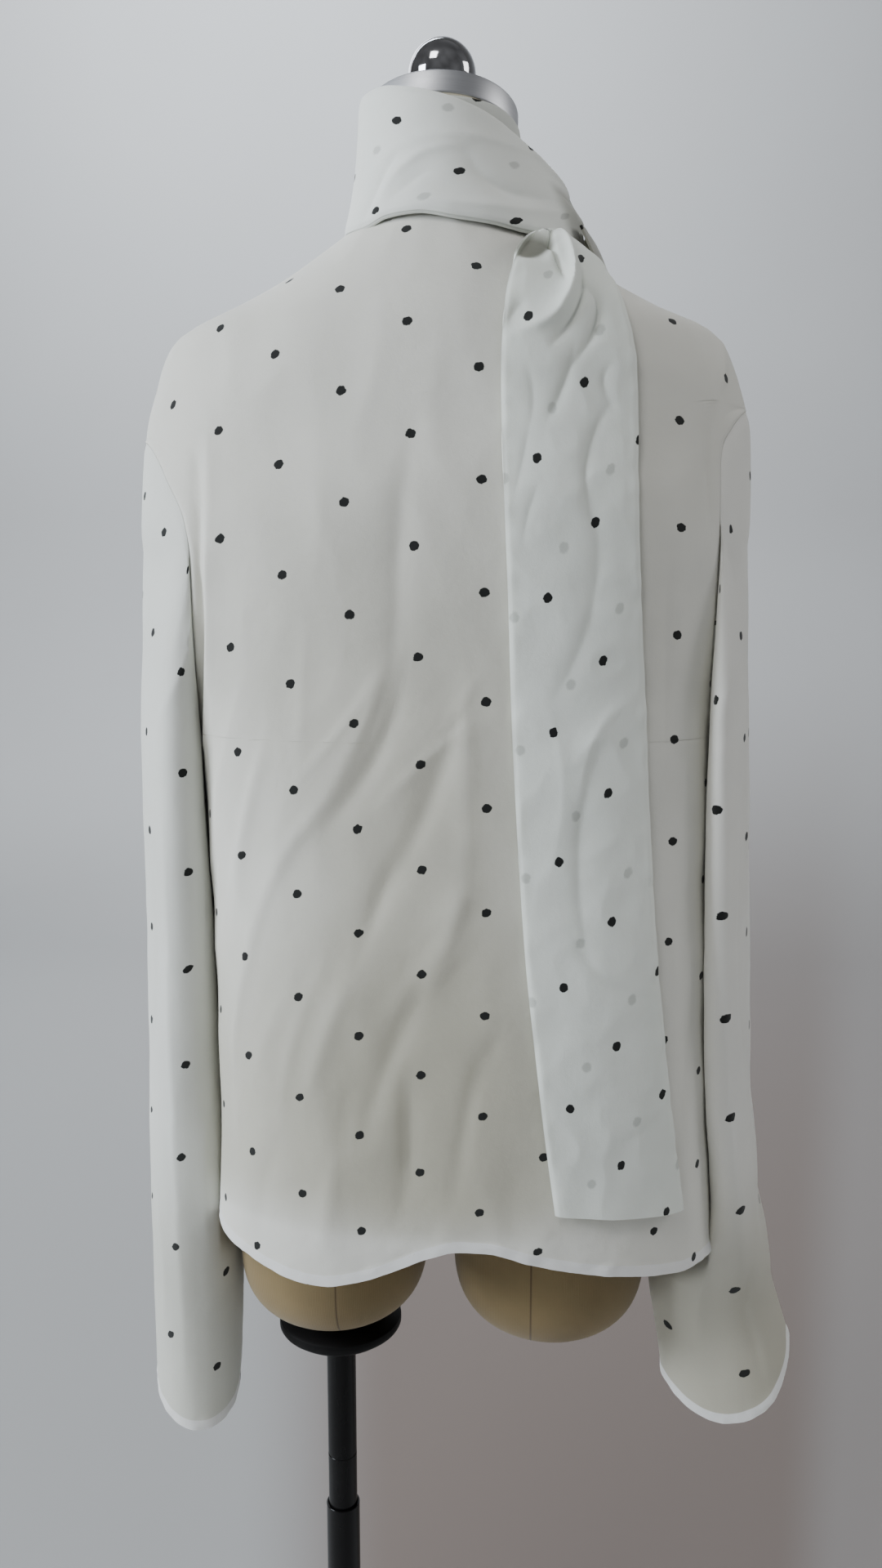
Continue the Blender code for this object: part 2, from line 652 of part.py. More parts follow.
def wrap_grid():
    """Outer face of the scarf round the neck, from its top edge down to its bottom edge."""
    angle = np.linspace(WRAP_START, WRAP_START + 360.0, WRAP_COLUMNS, endpoint=False)
    grid = []
    for rise in np.linspace(1.0, 0.0, WRAP_ROWS):
        bow = WRAP_BOW * math.sin(math.pi * rise)
        wound = np.where(angle > WRAP_TURN, angle - 360.0, angle) / WRAP_TURN
        bow = bow + fold_height(wound, rise, wrap_folds())
        radius = WRAP.read("low_radius", angle) * (1.0 - rise)
        radius = radius + WRAP.read("high_radius", angle) * rise + bow
        height = WRAP.read("low_height", angle) * (1.0 - rise)
        height = height + WRAP.read("high_height", angle) * rise
        grid.append(around(angle, radius, height))
    return np.array(grid)


def wrap_folds():
    """The wrap's folds with their angles as shares of its turn."""
    scaled = [WRAP_FOLDS[0]]
    for row in WRAP_FOLDS[1:]:
        turned = [value / WRAP_TURN if i in (0, 2, 4) else value for i, value in enumerate(row)]
        scaled.append(tuple(turned))
    return scaled


def torso_radius(angle, height):
    """Distance of the torso's surface from the axis of the neck."""
    turn = np.radians(angle)
    x, y = -np.sin(turn), np.cos(turn)
    half = np.where(x > 0.0, TORSO.read("left", height), TORSO.read("right", height))
    depth = np.where(y > 0.0, TORSO.read("back", height), TORSO.read("front", height))
    power = TORSO.read("power", height)
    return (np.abs(x / half) ** power + np.abs(y / depth) ** power) ** (-1.0 / power)


def off_torso(x, y, height, lift):
    """A point of the torso's surface moved out from it by `lift`."""
    angle = np.degrees(np.arctan2(-x, y))
    below, above = height - SLOPE_STEP, height + SLOPE_STEP
    fall = (torso_radius(angle, below) - torso_radius(angle, above)) / (2.0 * SLOPE_STEP)
    normal_x, normal_y = section_normal(x, y, height)
    radius = np.hypot(x, y)
    facing = (normal_x * x + normal_y * y) / radius
    upward = fall * facing
    length = np.hypot(1.0, upward)
    point = (x + lift * normal_x / length, y + lift * normal_y / length, height + lift * upward / length)
    return np.stack(point, axis=-1)


def cowl_grid():
    """Outer face of the scarf across the front, from its upper edge down to its lower edge."""
    angle = np.linspace(COWL.keys[0], COWL.keys[-1], COWL_COLUMNS)
    turn = np.radians(angle)
    grid = []
    for fall in np.linspace(0.0, 1.0, COWL_ROWS):
        height = COWL.read("high_height", angle) * (1.0 - fall) + COWL.read("low_height", angle) * fall
        lift = COWL.read("high_lift", angle) * (1.0 - fall) + COWL.read("low_lift", angle) * fall
        lift = lift + COWL_BOW * math.sin(math.pi * fall)
        radius = torso_radius(angle, height)
        grid.append(off_torso(-radius * np.sin(turn), radius * np.cos(turn), height, lift))
    return np.array(grid)


def back_depth(x, height):
    """How far back the torso's surface lies at x."""
    half = np.where(x > 0.0, TORSO.read("left", height), TORSO.read("right", height))
    power = TORSO.read("power", height)
    share = np.clip(1.0 - np.abs(x / half) ** power, 0.0, 1.0)
    return TORSO.read("back", height) * share ** (1.0 / power)


def tail_grid():
    """Outer face of the scarf end down the back, laid on the back panel's points."""
    grid = []
    across = np.linspace(0.0, 1.0, TAIL_COLUMNS)
    top, bottom = TAIL.keys[-1], TAIL.keys[0]
    fall = np.linspace(0.0, 1.0, TAIL_ROWS)
    spread = (1.0 - TAIL_ROW_CROWDING) * fall + TAIL_ROW_CROWDING * fall ** 2
    for height in top - (top - bottom) * spread:
        x = TAIL.read("left", height) * (1.0 - across) + TAIL.read("right", height) * across
        z = np.full(TAIL_COLUMNS, height)
        lift = TAIL.read("lift", height) + TAIL_CROWN * np.sin(math.pi * across)
        lift = lift + np.clip(fold_height(x, z, BACK_FOLDS), 0.0, None)
        lift = lift + fold_height(x, z, TAIL_FOLDS) * np.sin(math.pi * across) ** 0.5
        grid.append(off_torso(x, back_depth(x, z), z, lift))
    return np.array(grid)


def form_ring(height):
    """A ring of the dress form, tilted near the neck plate."""
    angle = np.linspace(0.0, math.tau, FORM_COLUMNS, endpoint=False)
    half = FORM.read("half", height)
    depth = np.where(np.sin(angle) > 0.0, FORM.read("back", height), FORM.read("front", height))
    power = 2.0 if height > NECK_TILT_FROM else FORM_POWER
    x, y = power_point(angle, half, depth, power)
    lean = np.clip((height - NECK_TILT_FROM) / (FORM_ROWS[0] - NECK_TILT_FROM), 0.0, 1.0)
    return np.stack((x, y, height + lean * y * math.tan(NECK_TILT)), axis=1)


def make_form_torso(collection, material):
    """The form's padded torso: a loft of rings, closed at neck and crotch, with two thighs."""
    rings = np.array([form_ring(height) for height in FORM_ROWS])
    faces = grid_faces(len(FORM_ROWS), FORM_COLUMNS, closed=True)
    last = (len(FORM_ROWS) - 1) * FORM_COLUMNS
    faces.append(tuple(range(FORM_COLUMNS)))
    faces.append(tuple(last + i for i in reversed(range(FORM_COLUMNS))))
    torso = mesh_object(collection, "form_torso", rings.reshape(-1, 3), faces, material)
    return torso


def join_thighs(torso, cutters, material):
    """Union the two thigh stubs with the torso."""
    for side in (1.0, -1.0):
        place = (side * STUB_X, 0.0, 0.0)
        name = "thigh_left" if side > 0.0 else "thigh_right"
        stub = turned_object(cutters, name, STUB_PROFILE, place, 0.0, material, STUB_SEGMENTS)
        stub.hide_render = True
        stub.display_type = "WIRE"
        union = torso.modifiers.new(name, "BOOLEAN")
        union.operation = "UNION"
        union.solver = "EXACT"
        union.object = stub


def make_neck_hardware(collection, steel, chrome):
    """The tilted neck plate with its knob."""
    seat = Vector((0.0, 0.0, PLATE_TOP - PLATE_THICKNESS * math.cos(NECK_TILT)))
    turned_object(collection, "neck_plate", PLATE_PROFILE, seat, NECK_TILT, steel)
    up = Vector((0.0, -math.sin(NECK_TILT), math.cos(NECK_TILT)))
    place = seat + up * (PLATE_THICKNESS + PART_GAP)
    turned_object(collection, "neck_knob", KNOB_PROFILE, place, NECK_TILT, chrome)


def make_stand(collection, black):
    """Flange, telescoping pole and round base below the wearer's left thigh."""
    ground = (POLE_X, 0.0, 0.0)
    turned_object(collection, "thigh_flange", FLANGE_PROFILE, (POLE_X, 0.0, FLANGE_TOP), 0.0, black)
    turned_object(collection, "pole_upper", POLE_PROFILE, ground, 0.0, black)
    turned_object(collection, "pole_lower", TUBE_PROFILE, ground, 0.0, black)
    turned_object(collection, "base_plate", BASE_PROFILE, ground, 0.0, black)


def make_blouse(collection, crepe, scarf):
    """The blouse's pieces, each with its outer face worked out from the tables above."""
    back = panel_grid(1, column_fractions(BACK_COLUMNS), BACK_FOLDS, BACK_HEM)
    front = panel_grid(-1, column_fractions(FRONT_COLUMNS), BACK_FOLDS[:1], FRONT_HEM)
    cloth_object(collection, "back", back, CLOTH_WALL, crepe)
    cloth_object(collection, "front", front[:, ::-1], CLOTH_WALL, crepe)
    left = sleeve_grid(SLEEVE_LEFT, armhole_loop(back, front, "left"), 1.0, 2.0 * QUARTER)
    right = sleeve_grid(SLEEVE_RIGHT, armhole_loop(back, front, "right"), -1.0, 0.0)
    cloth_object(collection, "sleeve_left", left, CLOTH_WALL, crepe, closed=True)
    cloth_object(collection, "sleeve_right", right[:, ::-1], CLOTH_WALL, crepe, closed=True)
    cloth_object(collection, "scarf_wrap", wrap_grid(), SCARF_WALL, scarf, closed=True)
    cloth_object(collection, "scarf_cowl", cowl_grid(), SCARF_WALL, scarf)
    cloth_object(collection, "scarf_tail", tail_grid(), TAIL_WALL, scarf)


def main():
    """Build the blouse, the dress form and the stand."""
    clear_scene()
    collection = make_collection()
    cutters = bpy.data.collections.new("cutters")
    bpy.context.scene.collection.children.link(cutters)
    crepe = make_material("ivory_crepe", (0.62, 0.62, 0.58), 0.85)
    scarf = make_material("ivory_crepe_double", (0.70, 0.70, 0.66), 0.85)
    cover = make_material("beige_jersey", (0.16, 0.11, 0.055), 0.8)
    steel = make_material("brushed_steel", (0.35, 0.35, 0.36), 0.35, 1.0)
    chrome = make_material("polished_chrome", (0.75, 0.75, 0.76), 0.08, 1.0)
    black = make_material("black_enamel", (0.01, 0.01, 0.01), 0.3)
    make_blouse(collection, crepe, scarf)
    torso = make_form_torso(collection, cover)
    join_thighs(torso, cutters, cover)
    make_neck_hardware(collection, steel, chrome)
    make_stand(collection, black)


main()
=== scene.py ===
"""Polka-dot crepe blouse with a wrapped scarf collar, dressed on a half-body form and its stand.

Metres, +Z up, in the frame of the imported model: the blouse's front faces -Y, its back faces +Y
and the wearer's left is +X. Run as a script it builds every piece and the stage.
"""

import math

import bpy
import numpy as np
from bpy.props import FloatProperty, FloatVectorProperty, PointerProperty
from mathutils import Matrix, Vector, noise


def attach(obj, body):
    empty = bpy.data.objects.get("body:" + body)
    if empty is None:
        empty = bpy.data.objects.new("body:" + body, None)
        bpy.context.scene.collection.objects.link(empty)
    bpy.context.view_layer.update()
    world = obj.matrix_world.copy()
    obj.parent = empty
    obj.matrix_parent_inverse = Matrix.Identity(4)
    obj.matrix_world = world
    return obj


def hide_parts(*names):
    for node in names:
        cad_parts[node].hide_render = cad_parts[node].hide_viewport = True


bl_info = {
    "name": "Scarf-Collar Blouse",
    "version": (1, 0, 0),
    "blender": (4, 5, 0),
    "location": "View3D > Sidebar > Blouse",
    "description": "Builds a polka-dot blouse with a scarf collar on a dress form",
    "category": "Add Mesh",
}

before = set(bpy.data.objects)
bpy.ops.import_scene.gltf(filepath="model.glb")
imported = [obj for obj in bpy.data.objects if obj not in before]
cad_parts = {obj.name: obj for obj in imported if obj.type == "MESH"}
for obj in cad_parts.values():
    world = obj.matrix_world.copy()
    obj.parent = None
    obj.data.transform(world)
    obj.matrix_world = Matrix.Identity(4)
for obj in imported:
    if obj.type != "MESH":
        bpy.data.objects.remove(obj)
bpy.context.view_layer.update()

# Heights and seams of the blouse
NECKLINE = 1.4390
ARMHOLE_TOP_RIGHT = 1.3235
ARMHOLE_TOP_LEFT = 1.3075
ARMHOLE_FLOOR = 1.113
HEM_HEIGHT = 0.760
HEM_BLEND_HEIGHT = 0.98
BUST_HEIGHT = 1.25
SEAM_GAP = 0.0001
SEAM_CALM = 0.018
FOLD_CALM = 0.005
SEAM_ROLL = 0.0008
SEAM_ROLL_WIDTH = 0.0022
HEM_STEP = 0.0012
HEM_THICKNESS = 0.0005
HEM_PUCKER_REACH = 0.006
STITCH_INSET = 0.0012
STITCH_GROOVE = 0.0009
STITCH_DEPTH = 0.00025

# Small unevenness of the cloth: size across, depth, and where its pattern starts
HEM_WAVES = ((0.0075, 0.0006, 6.1), (0.0210, 0.0006, 1.7))
PANEL_WAVES = ((0.055, 0.0009, 3.1), (0.018, 0.00022, 7.7))
SLEEVE_WAVES = ((0.050, 0.0009, 11.3), (0.016, 0.00020, 2.9))
TAIL_WAVES = ((0.030, 0.0007, 5.3),)
TAIL_EDGE_WAVES = ((0.012, 0.0011, 9.1),)
FRONT_PRINT_SHIFT = (0.01, 0.02)
PANEL_DENTS = (0.042, 0.0010, 4.4)
PANEL_DENTS_STRETCH = (1.0, 1.0, 0.55)
TAIL_DENTS = (0.026, 0.0007, 2.4)

# Sleeves
SLEEVE_TOP_RING = 1.10
SLEEVE_POWER = 2.3
SLEEVE_CLEARANCE = 0.0010
SLEEVE_FREE_HEIGHT = 0.748
CUFF_TOP_RING = 0.722
CUFF_BLEND_HEIGHT = 0.74
CUFF_ROUNDING = 0.020
SLIT_PLACES = {"left": 0.5, "right": 0.0}
SLIT_RISES = {"left": 0.060, "right": 0.038}
SLIT_REACH = 0.15
SLIT_POWER = 2.2
SLEEVE_SEAM_CALM = 0.03

# The form's tan shows through the cloth where it lies nearer than this; the share is cut towards the
# shoulders, which darkens the cloth towards the hips
SHOW_NEAR = 0.012
SHOW_FAR = 0.055
# Painted shade: the sleeves take the same tint towards their cuffs, the right one fully, though no form
# lies behind them
CUFF_SHADE_TOP = 0.86
CUFF_SHADE_LOW = 0.70
CUFF_PAINTED_SHADE = {"left": 0.45, "right": 1.0}
SHOW_TOP = 1.36
SHOW_HIPS = 0.95
SHOW_SHOULDERS = 0.12

# How finely the cloth is drawn
BACK_COLUMNS = 190
FRONT_COLUMNS = 110
PANEL_ROWS = (44, 12, 60, 100)
COLUMN_CROWDING = 0.6
ROW_CROWDING = 0.9
SLEEVE_COLUMNS = 144
CAP_RINGS = 34
HANGING_RINGS = 74
CUFF_RINGS = 26
WRAP_COLUMNS = 240
WRAP_ROWS = 46
COWL_COLUMNS = 120
COWL_ROWS = 34
TAIL_COLUMNS = 84
TAIL_ROWS = 300
FORM_COLUMNS = 96
FORM_ROWS = 110
STUB_RINGS = 20
KNOB_RINGS = 18
TURNED_SEGMENTS = 72
PLATE_SEGMENTS = 96
BASE_SEGMENTS = 128
ARC_SAMPLES = 400
CREASE_SAMPLES = 24
RISE_SAMPLES = 40
NORMAL_STEP = 0.0002
WELD_DISTANCE = 0.00001
CLOTH_SMOOTH_ANGLE = math.radians(50.0)
TURNED_SMOOTH_ANGLE = math.radians(32.0)
FORM_SMOOTH_ANGLE = math.radians(40.0)
WALL_STEPS = 16

# A crease's profile: how sharp its crest is, how fast its flanks fall, and how its ends fade
CREASE_CREST = 0.3
CREASE_FALL = 1.6
CREASE_END = 0.06
CREASE_FADE = 0.8

# Print: how unevenly a dot's edge wanders, its lean, and a lower layer's dots showing faintly
DOT_WANDER = 0.0016
DOT_LEAN = math.radians(24.0)
DOT_BLUR = 0.08
GHOST_PLACE = (0.012, 0.021)
GHOST_SIZE = 1.05
GHOST_BLUR = 0.3
GHOST_SHARE = 0.30
HEM_BLUR = 0.0004
# Tints of each piece: the scarf's are whiter for its doubled cloth, and the sleeves' differ as painted
# light, the right sleeve tinted paler than the left
TINTS_AND_LIGHT = {
    "back": "#F4F3EE", "front": "#F4F3EE", "sleeve_left": "#F0F2EF", "sleeve_right": "#FBFAF7",
    "scarf_wrap": "#FBFEFC", "scarf_cowl": "#FAFCFA", "scarf_tail": "#F8FDFA",
}
STITCH_THREAD = 0.0003

# Camera: where it stands, and how it is turned
CAMERA_PLACE = (-0.0745, 0.852, 1.200)
CAMERA_YAW = math.radians(185.0)
CAMERA_PITCH = math.radians(8.5)
CAMERA_SENSOR = 36.0
FRAME_HEIGHT_PX = 1919.0
FOCAL_LENGTH_PX = 1500.0

# Lights: where each stands, where it aims, its side and its colour
LIGHTS = {
    "key": ((2.5, 1.1, 1.85), (0.0, 0.0, 1.05), 1.2, "#EEF6FF"),
    "top": ((0.9, 1.6, 3.3), (0.0, 0.0, 1.3), 0.9, "#FFFFFF"),
    "fill": ((-2.3, -0.15, 2.3), (-0.2, 0.0, 1.2), 0.9, "#FFFFFF"),
    "front": ((1.4, -2.4, 2.6), (0.0, 0.0, 1.1), 1.8, "#F4F7FF"),
    "wall": ((1.4, -2.2, 4.6), (0.3, -4.8, 2.6), 2.4, "#EEF6FF"),
}

# Floor paint with a painted shadow: a dark brownish wedge widens from the foot of the camera past
# the stand. Its two sides are given as a share of the way from the camera, and it fades with height and
# with distance.
PAINTED_SHADOW_LEFT = (0.13, 0.28)
PAINTED_SHADOW_RIGHT = (-0.21, -0.27)
PAINTED_SHADOW_RIGHT_SHARE = 0.35
PAINTED_SHADOW_FADE_REACH = (2.5, 1.6)
PAINTED_SHADOW_FADE_FROM = 0.45
PAINTED_SHADOW_FADE_SLOPE = 0.25
PAINTED_SHADOW_FRONT = (-0.40, 0.0)


def linear(code):
    """An sRGB hex colour as linear red, green and blue."""
    values = [int(code[i:i + 2], 16) / 255.0 for i in (1, 3, 5)]
    return tuple(v / 12.92 if v <= 0.04045 else ((v + 0.055) / 1.055) ** 2.4 for v in values)


def tangents(keys, values):
    """Slopes of a smooth curve through a table's rows that never overshoots them."""
    steps = np.diff(keys)
    rises = np.diff(values) / steps
    slopes = np.zeros(len(keys))
    slopes[0] = rises[0]
    slopes[-1] = rises[-1]
    for i in range(1, len(keys) - 1):
        if rises[i - 1] * rises[i] > 0.0:
            near = 2.0 * steps[i] + steps[i - 1]
            far = steps[i] + 2.0 * steps[i - 1]
            slopes[i] = (near + far) / (near / rises[i - 1] + far / rises[i])
    return slopes


class Table:
    """Rows of sizes under named columns, read smoothly along the first column."""

    def __init__(self, names, *rows):
        ordered = np.array(sorted(rows), dtype=float)
        self.keys = ordered[:, 0]
        self.values = {name: ordered[:, i] for i, name in enumerate(names.split())}
        self.slopes = {name: tangents(self.keys, column) for name, column in self.values.items()}

    def read(self, name, key):
        """The column's value at `key`, held level past the table's ends."""
        key = np.clip(key, self.keys[0], self.keys[-1])
        i = np.clip(np.searchsorted(self.keys, key) - 1, 0, len(self.keys) - 2)
        step = self.keys[i + 1] - self.keys[i]
        t = (key - self.keys[i]) / step
        value = self.values[name]
        slope = self.slopes[name]
        rise = t * t * (3.0 - 2.0 * t)
        start_pull = t * (1.0 - t) ** 2 * step * slope[i]
        end_pull = t * t * (t - 1.0) * step * slope[i + 1]
        return value[i] * (1.0 - rise) + value[i + 1] * rise + start_pull + end_pull


# Cross-section of the dressed torso: half widths to the wearer's left and right, depths to the
# back and front, and the power of the superellipse, which squares the corners below the arms.
TORSO = Table(
    "height left right back front power",
    (1.4395, 0.0600, 0.0600, 0.0590, 0.0610, 2.00),
    (1.4365, 0.0625, 0.0625, 0.0610, 0.0630, 2.00),
    (1.4250, 0.0785, 0.0795, 0.0675, 0.0720, 2.00),
    (1.4110, 0.1005, 0.1015, 0.0745, 0.0795, 2.00),
    (1.3900, 0.1390, 0.1405, 0.0855, 0.0865, 2.00),
    (1.3710, 0.1785, 0.1785, 0.0945, 0.0895, 2.05),
    (1.3600, 0.1862, 0.1885, 0.0975, 0.0915, 2.05),
    (1.3400, 0.1928, 0.1970, 0.1015, 0.0945, 2.10),
    (1.3065, 0.2012, 0.2045, 0.1055, 0.0995, 2.15),
    (1.2500, 0.2045, 0.2060, 0.1135, 0.1135, 2.30),
    (1.2000, 0.1920, 0.1965, 0.1115, 0.1295, 2.50),
    (1.1330, 0.1678, 0.1855, 0.1075, 0.1295, 2.80),
    (1.0500, 0.1608, 0.1845, 0.1085, 0.1235, 3.00),
    (0.9500, 0.1558, 0.1865, 0.1155, 0.1215, 3.00),
    (0.8600, 0.1545, 0.1895, 0.1195, 0.1235, 3.00),
    (0.7600, 0.1585, 0.1955, 0.1185, 0.1275, 3.00),
)

# Armhole seams: how far out the panels reach at each height.
ARMHOLES = {
    "left": Table(
        "height reach",
        (1.3075, 0.2030), (1.3020, 0.1921), (1.2920, 0.1815), (1.2760, 0.1709),
        (1.2510, 0.1565), (1.2255, 0.1521), (1.1840, 0.1535), (1.1340, 0.1600),
        (1.1130, 0.1650),
    ),
    "right": Table(
        "height reach",
        (1.3235, 0.2030), (1.3160, 0.1945), (1.3060, 0.1870), (1.2960, 0.1815),
        (1.2830, 0.1800), (1.2180, 0.1800), (1.1680, 0.1800), (1.1340, 0.1805), (1.1130, 0.1848),
    ),
}

# Hem heights across the panels, from the wearer's left (+) to the right (-).
BACK_HEM = Table(
    "x height",
    (0.157, 0.7680), (0.132, 0.7665), (0.106, 0.7600), (0.071, 0.7555), (0.043, 0.7610),
    (0.022, 0.7690), (-0.002, 0.7800), (-0.021, 0.7850), (-0.042, 0.7845), (-0.063, 0.7790),
    (-0.094, 0.7720), (-0.126, 0.7670), (-0.171, 0.7600), (-0.194, 0.7570),
)
FRONT_HEM = Table(
    "x height",
    (0.157, 0.7680), (0.080, 0.7580), (-0.010, 0.7560), (-0.110, 0.7540), (-0.194, 0.7570),
)

# Creases, each from its top through its middle to its low end. `near` and `far` are the widths
# of its two flanks, and `height` is how far it stands out, or sinks in if it is minus.
# Columns: top_a, top_b, mid_a, mid_b, low_a, low_b, near, far, height
BACK_CREASES = (
    # soft folds that run down the middle and fan out to the wearer's left
    (0.0076, 1.3005, 0.0158, 1.2343, 0.0181, 1.1632, 0.012, 0.014, -0.0024),
    (0.0251, 1.1631, 0.0405, 1.1185, 0.0691, 1.0654, 0.017, 0.005, 0.0022),
    (0.0160, 1.1500, 0.0300, 1.1080, 0.0620, 1.0620, 0.006, 0.014, -0.0028),
    (0.0700, 1.0646, 0.1070, 1.0054, 0.1317, 0.8980, 0.014, 0.005, 0.0023),
    (-0.0228, 1.1442, -0.0016, 1.0742, 0.0358, 1.0022, 0.014, 0.008, -0.0026),
    (0.0212, 1.0383, 0.0338, 1.0023, 0.0519, 0.9575, 0.006, 0.006, -0.0024),
    (0.0338, 1.0023, 0.0602, 0.9367, 0.0795, 0.8810, 0.007, 0.012, 0.0024),
    (-0.0253, 1.0254, -0.0157, 0.9916, -0.0001, 0.9614, 0.014, 0.004, 0.0026),
    (-0.0294, 0.9959, -0.0138, 0.9757, 0.0018, 0.9534, 0.004, 0.005, 0.0013),
    (0.0018, 0.9554, 0.0217, 0.9142, 0.0380, 0.8640, 0.010, 0.006, -0.0026),
    (0.0120, 0.9021, 0.0110, 0.8567, 0.0150, 0.8049, 0.008, 0.014, -0.0032),
    (-0.0456, 0.9324, -0.0302, 0.8914, -0.0164, 0.8110, 0.006, 0.010, -0.0022),
    (0.1022, 1.1089, 0.1189, 1.0529, 0.1307, 0.9841, 0.005, 0.006, 0.0014),
    (-0.0229, 1.1633, -0.0249, 1.0979, -0.0252, 1.0273, 0.016, 0.008, 0.0018),
    # finer creases
    (0.0307, 1.1520, 0.0542, 1.1205, 0.0799, 1.0901, 0.0030, 0.0055, 0.0011),
    (0.0587, 1.0836, 0.0776, 1.0606, 0.0916, 1.0405, 0.0035, 0.0050, 0.0010),
    (-0.0259, 1.1254, 0.0032, 1.1009, 0.0314, 1.0709, 0.0030, 0.0060, 0.0011),
    (0.1014, 1.1232, 0.1213, 1.0571, 0.1404, 0.9742, 0.0030, 0.0045, 0.0012),
    (-0.0366, 1.0240, -0.0138, 1.0092, 0.0071, 0.9892, 0.0035, 0.0040, 0.0010),
    (-0.0098, 0.9896, 0.0132, 0.9568, 0.0313, 0.9325, 0.0030, 0.0050, 0.0011),
    (0.0629, 0.9782, 0.0840, 0.9287, 0.0973, 0.8667, 0.0035, 0.0060, 0.0012),
    (0.1205, 0.9657, 0.1302, 0.9016, 0.1286, 0.8401, 0.0030, 0.0045, 0.0010),
    (-0.0409, 0.9400, -0.0335, 0.8923, -0.0286, 0.8436, 0.0040, 0.0050, 0.0009),
    (0.0472, 0.8944, 0.0539, 0.8561, 0.0534, 0.8113, 0.0040, 0.0060, -0.0010),
    (-0.0343, 1.1588, -0.0194, 1.1338, -0.0094, 1.1187, 0.0035, 0.0045, 0.0008),
    (0.0600, 1.2860, 0.0640, 1.2500, 0.0670, 1.2130, 0.010, 0.012, 0.0008),
    (0.0750, 1.1790, 0.0790, 1.1300, 0.0810, 1.0810, 0.006, 0.007, 0.0008),
    (0.0860, 0.9600, 0.1040, 0.9250, 0.1160, 0.8840, 0.004, 0.006, 0.0009),
    (0.1180, 1.1500, 0.1370, 1.0900, 0.1500, 1.0300, 0.006, 0.008, 0.0012),
    (-0.1500, 1.2400, -0.1480, 1.1600, -0.1520, 1.0700, 0.010, 0.008, -0.0018),
    (-0.1650, 1.1200, -0.1580, 1.0200, -0.1620, 0.9300, 0.008, 0.010, 0.0016),
    (-0.1760, 0.9600, -0.1680, 0.8900, -0.1600, 0.8200, 0.008, 0.008, -0.0016),
    (0.0520, 0.8600, 0.0620, 0.8200, 0.0660, 0.7850, 0.010, 0.012, 0.0014),
    (0.1000, 0.8500, 0.1100, 0.8100, 0.1120, 0.7800, 0.010, 0.010, -0.0012),
)
# Sharp folds beside the armholes, which run on into the seam
BACK_EDGE_FOLDS = (
    (0.1400, 1.302, 0.1380, 1.255, 0.1400, 1.205, 0.0035, 0.012, 0.0034),
    (0.1400, 1.225, 0.1435, 1.165, 0.1525, 1.105, 0.0035, 0.012, 0.0036),
    (0.1480, 1.292, 0.1465, 1.240, 0.1500, 1.180, 0.0050, 0.005, -0.0038),
    (0.1480, 1.215, 0.1490, 1.160, 0.1560, 1.115, 0.0040, 0.004, -0.0050),
    (-0.1720, 1.314, -0.1710, 1.280, -0.1740, 1.240, 0.0060, 0.004, -0.0022),
    (-0.1815, 1.364, -0.1815, 1.348, -0.1800, 1.332, 0.0060, 0.004, 0.0022),
)
FRONT_CREASES = (
    (-0.060, 1.330, -0.085, 1.220, -0.110, 1.080, 0.012, 0.016, 0.0026),
    (0.066, 1.325, 0.082, 1.230, 0.112, 1.100, 0.015, 0.011, 0.0024),
    (0.020, 1.300, 0.012, 1.200, -0.004, 1.090, 0.018, 0.016, -0.0026),
    (0.110, 1.120, 0.070, 1.010, 0.018, 0.890, 0.010, 0.015, 0.0032),
    (0.078, 1.130, 0.040, 1.040, -0.012, 0.955, 0.009, 0.012, -0.0026),
    (-0.120, 1.110, -0.085, 1.000, -0.070, 0.880, 0.014, 0.010, 0.0030),
    (-0.086, 1.060, -0.050, 0.960, -0.042, 0.850, 0.010, 0.013, -0.0028),
    (0.128, 0.990, 0.098, 0.900, 0.088, 0.800, 0.011, 0.012, 0.0024),
    (-0.010, 0.930, -0.002, 0.860, 0.006, 0.780, 0.016, 0.014, -0.0034),
    (-0.135, 0.940, -0.122, 0.860, -0.120, 0.785, 0.012, 0.010, 0.0020),
    (0.046, 0.880, 0.052, 0.830, 0.050, 0.780, 0.010, 0.012, 0.0018),
)

# Sleeves below the armhole: where each ring's middle hangs, its half depth fore and aft, its
# half width across, and how far its back end is turned outward (plus) or inward (minus).
SLEEVES = {
    "left": Table(
        "height x y deep wide turn",
        (1.100, 0.1876, 0.006, 0.0757, 0.0230, -17.0),
        (0.985, 0.1870, 0.004, 0.0684, 0.0264, -17.0),
        (0.890, 0.1873, 0.002, 0.0624, 0.0288, -16.0),
        (0.800, 0.1867, 0.000, 0.0552, 0.0318, -16.0),
        (0.700, 0.1855, -0.002, 0.0475, 0.0340, -16.0),
        (0.590, 0.1880, -0.004, 0.0450, 0.0320, -16.0),
    ),
    "right": Table(
        "height x y deep wide turn",
        (1.100, -0.1990, 0.000, 0.0770, 0.0122, -12.0),
        (0.985, -0.2006, 0.000, 0.0725, 0.0156, -12.0),
        (0.870, -0.2030, 0.000, 0.0670, 0.0184, -10.0),
        (0.790, -0.2110, 0.000, 0.0600, 0.0185, -9.0),
        (0.745, -0.2055, 0.000, 0.0490, 0.0330, -8.0),
        (0.705, -0.1980, 0.000, 0.0365, 0.0435, -8.0),
        (0.665, -0.2030, 0.000, 0.0300, 0.0445, -8.0),
        (0.613, -0.2108, 0.000, 0.0310, 0.0458, -8.0),
    ),
}

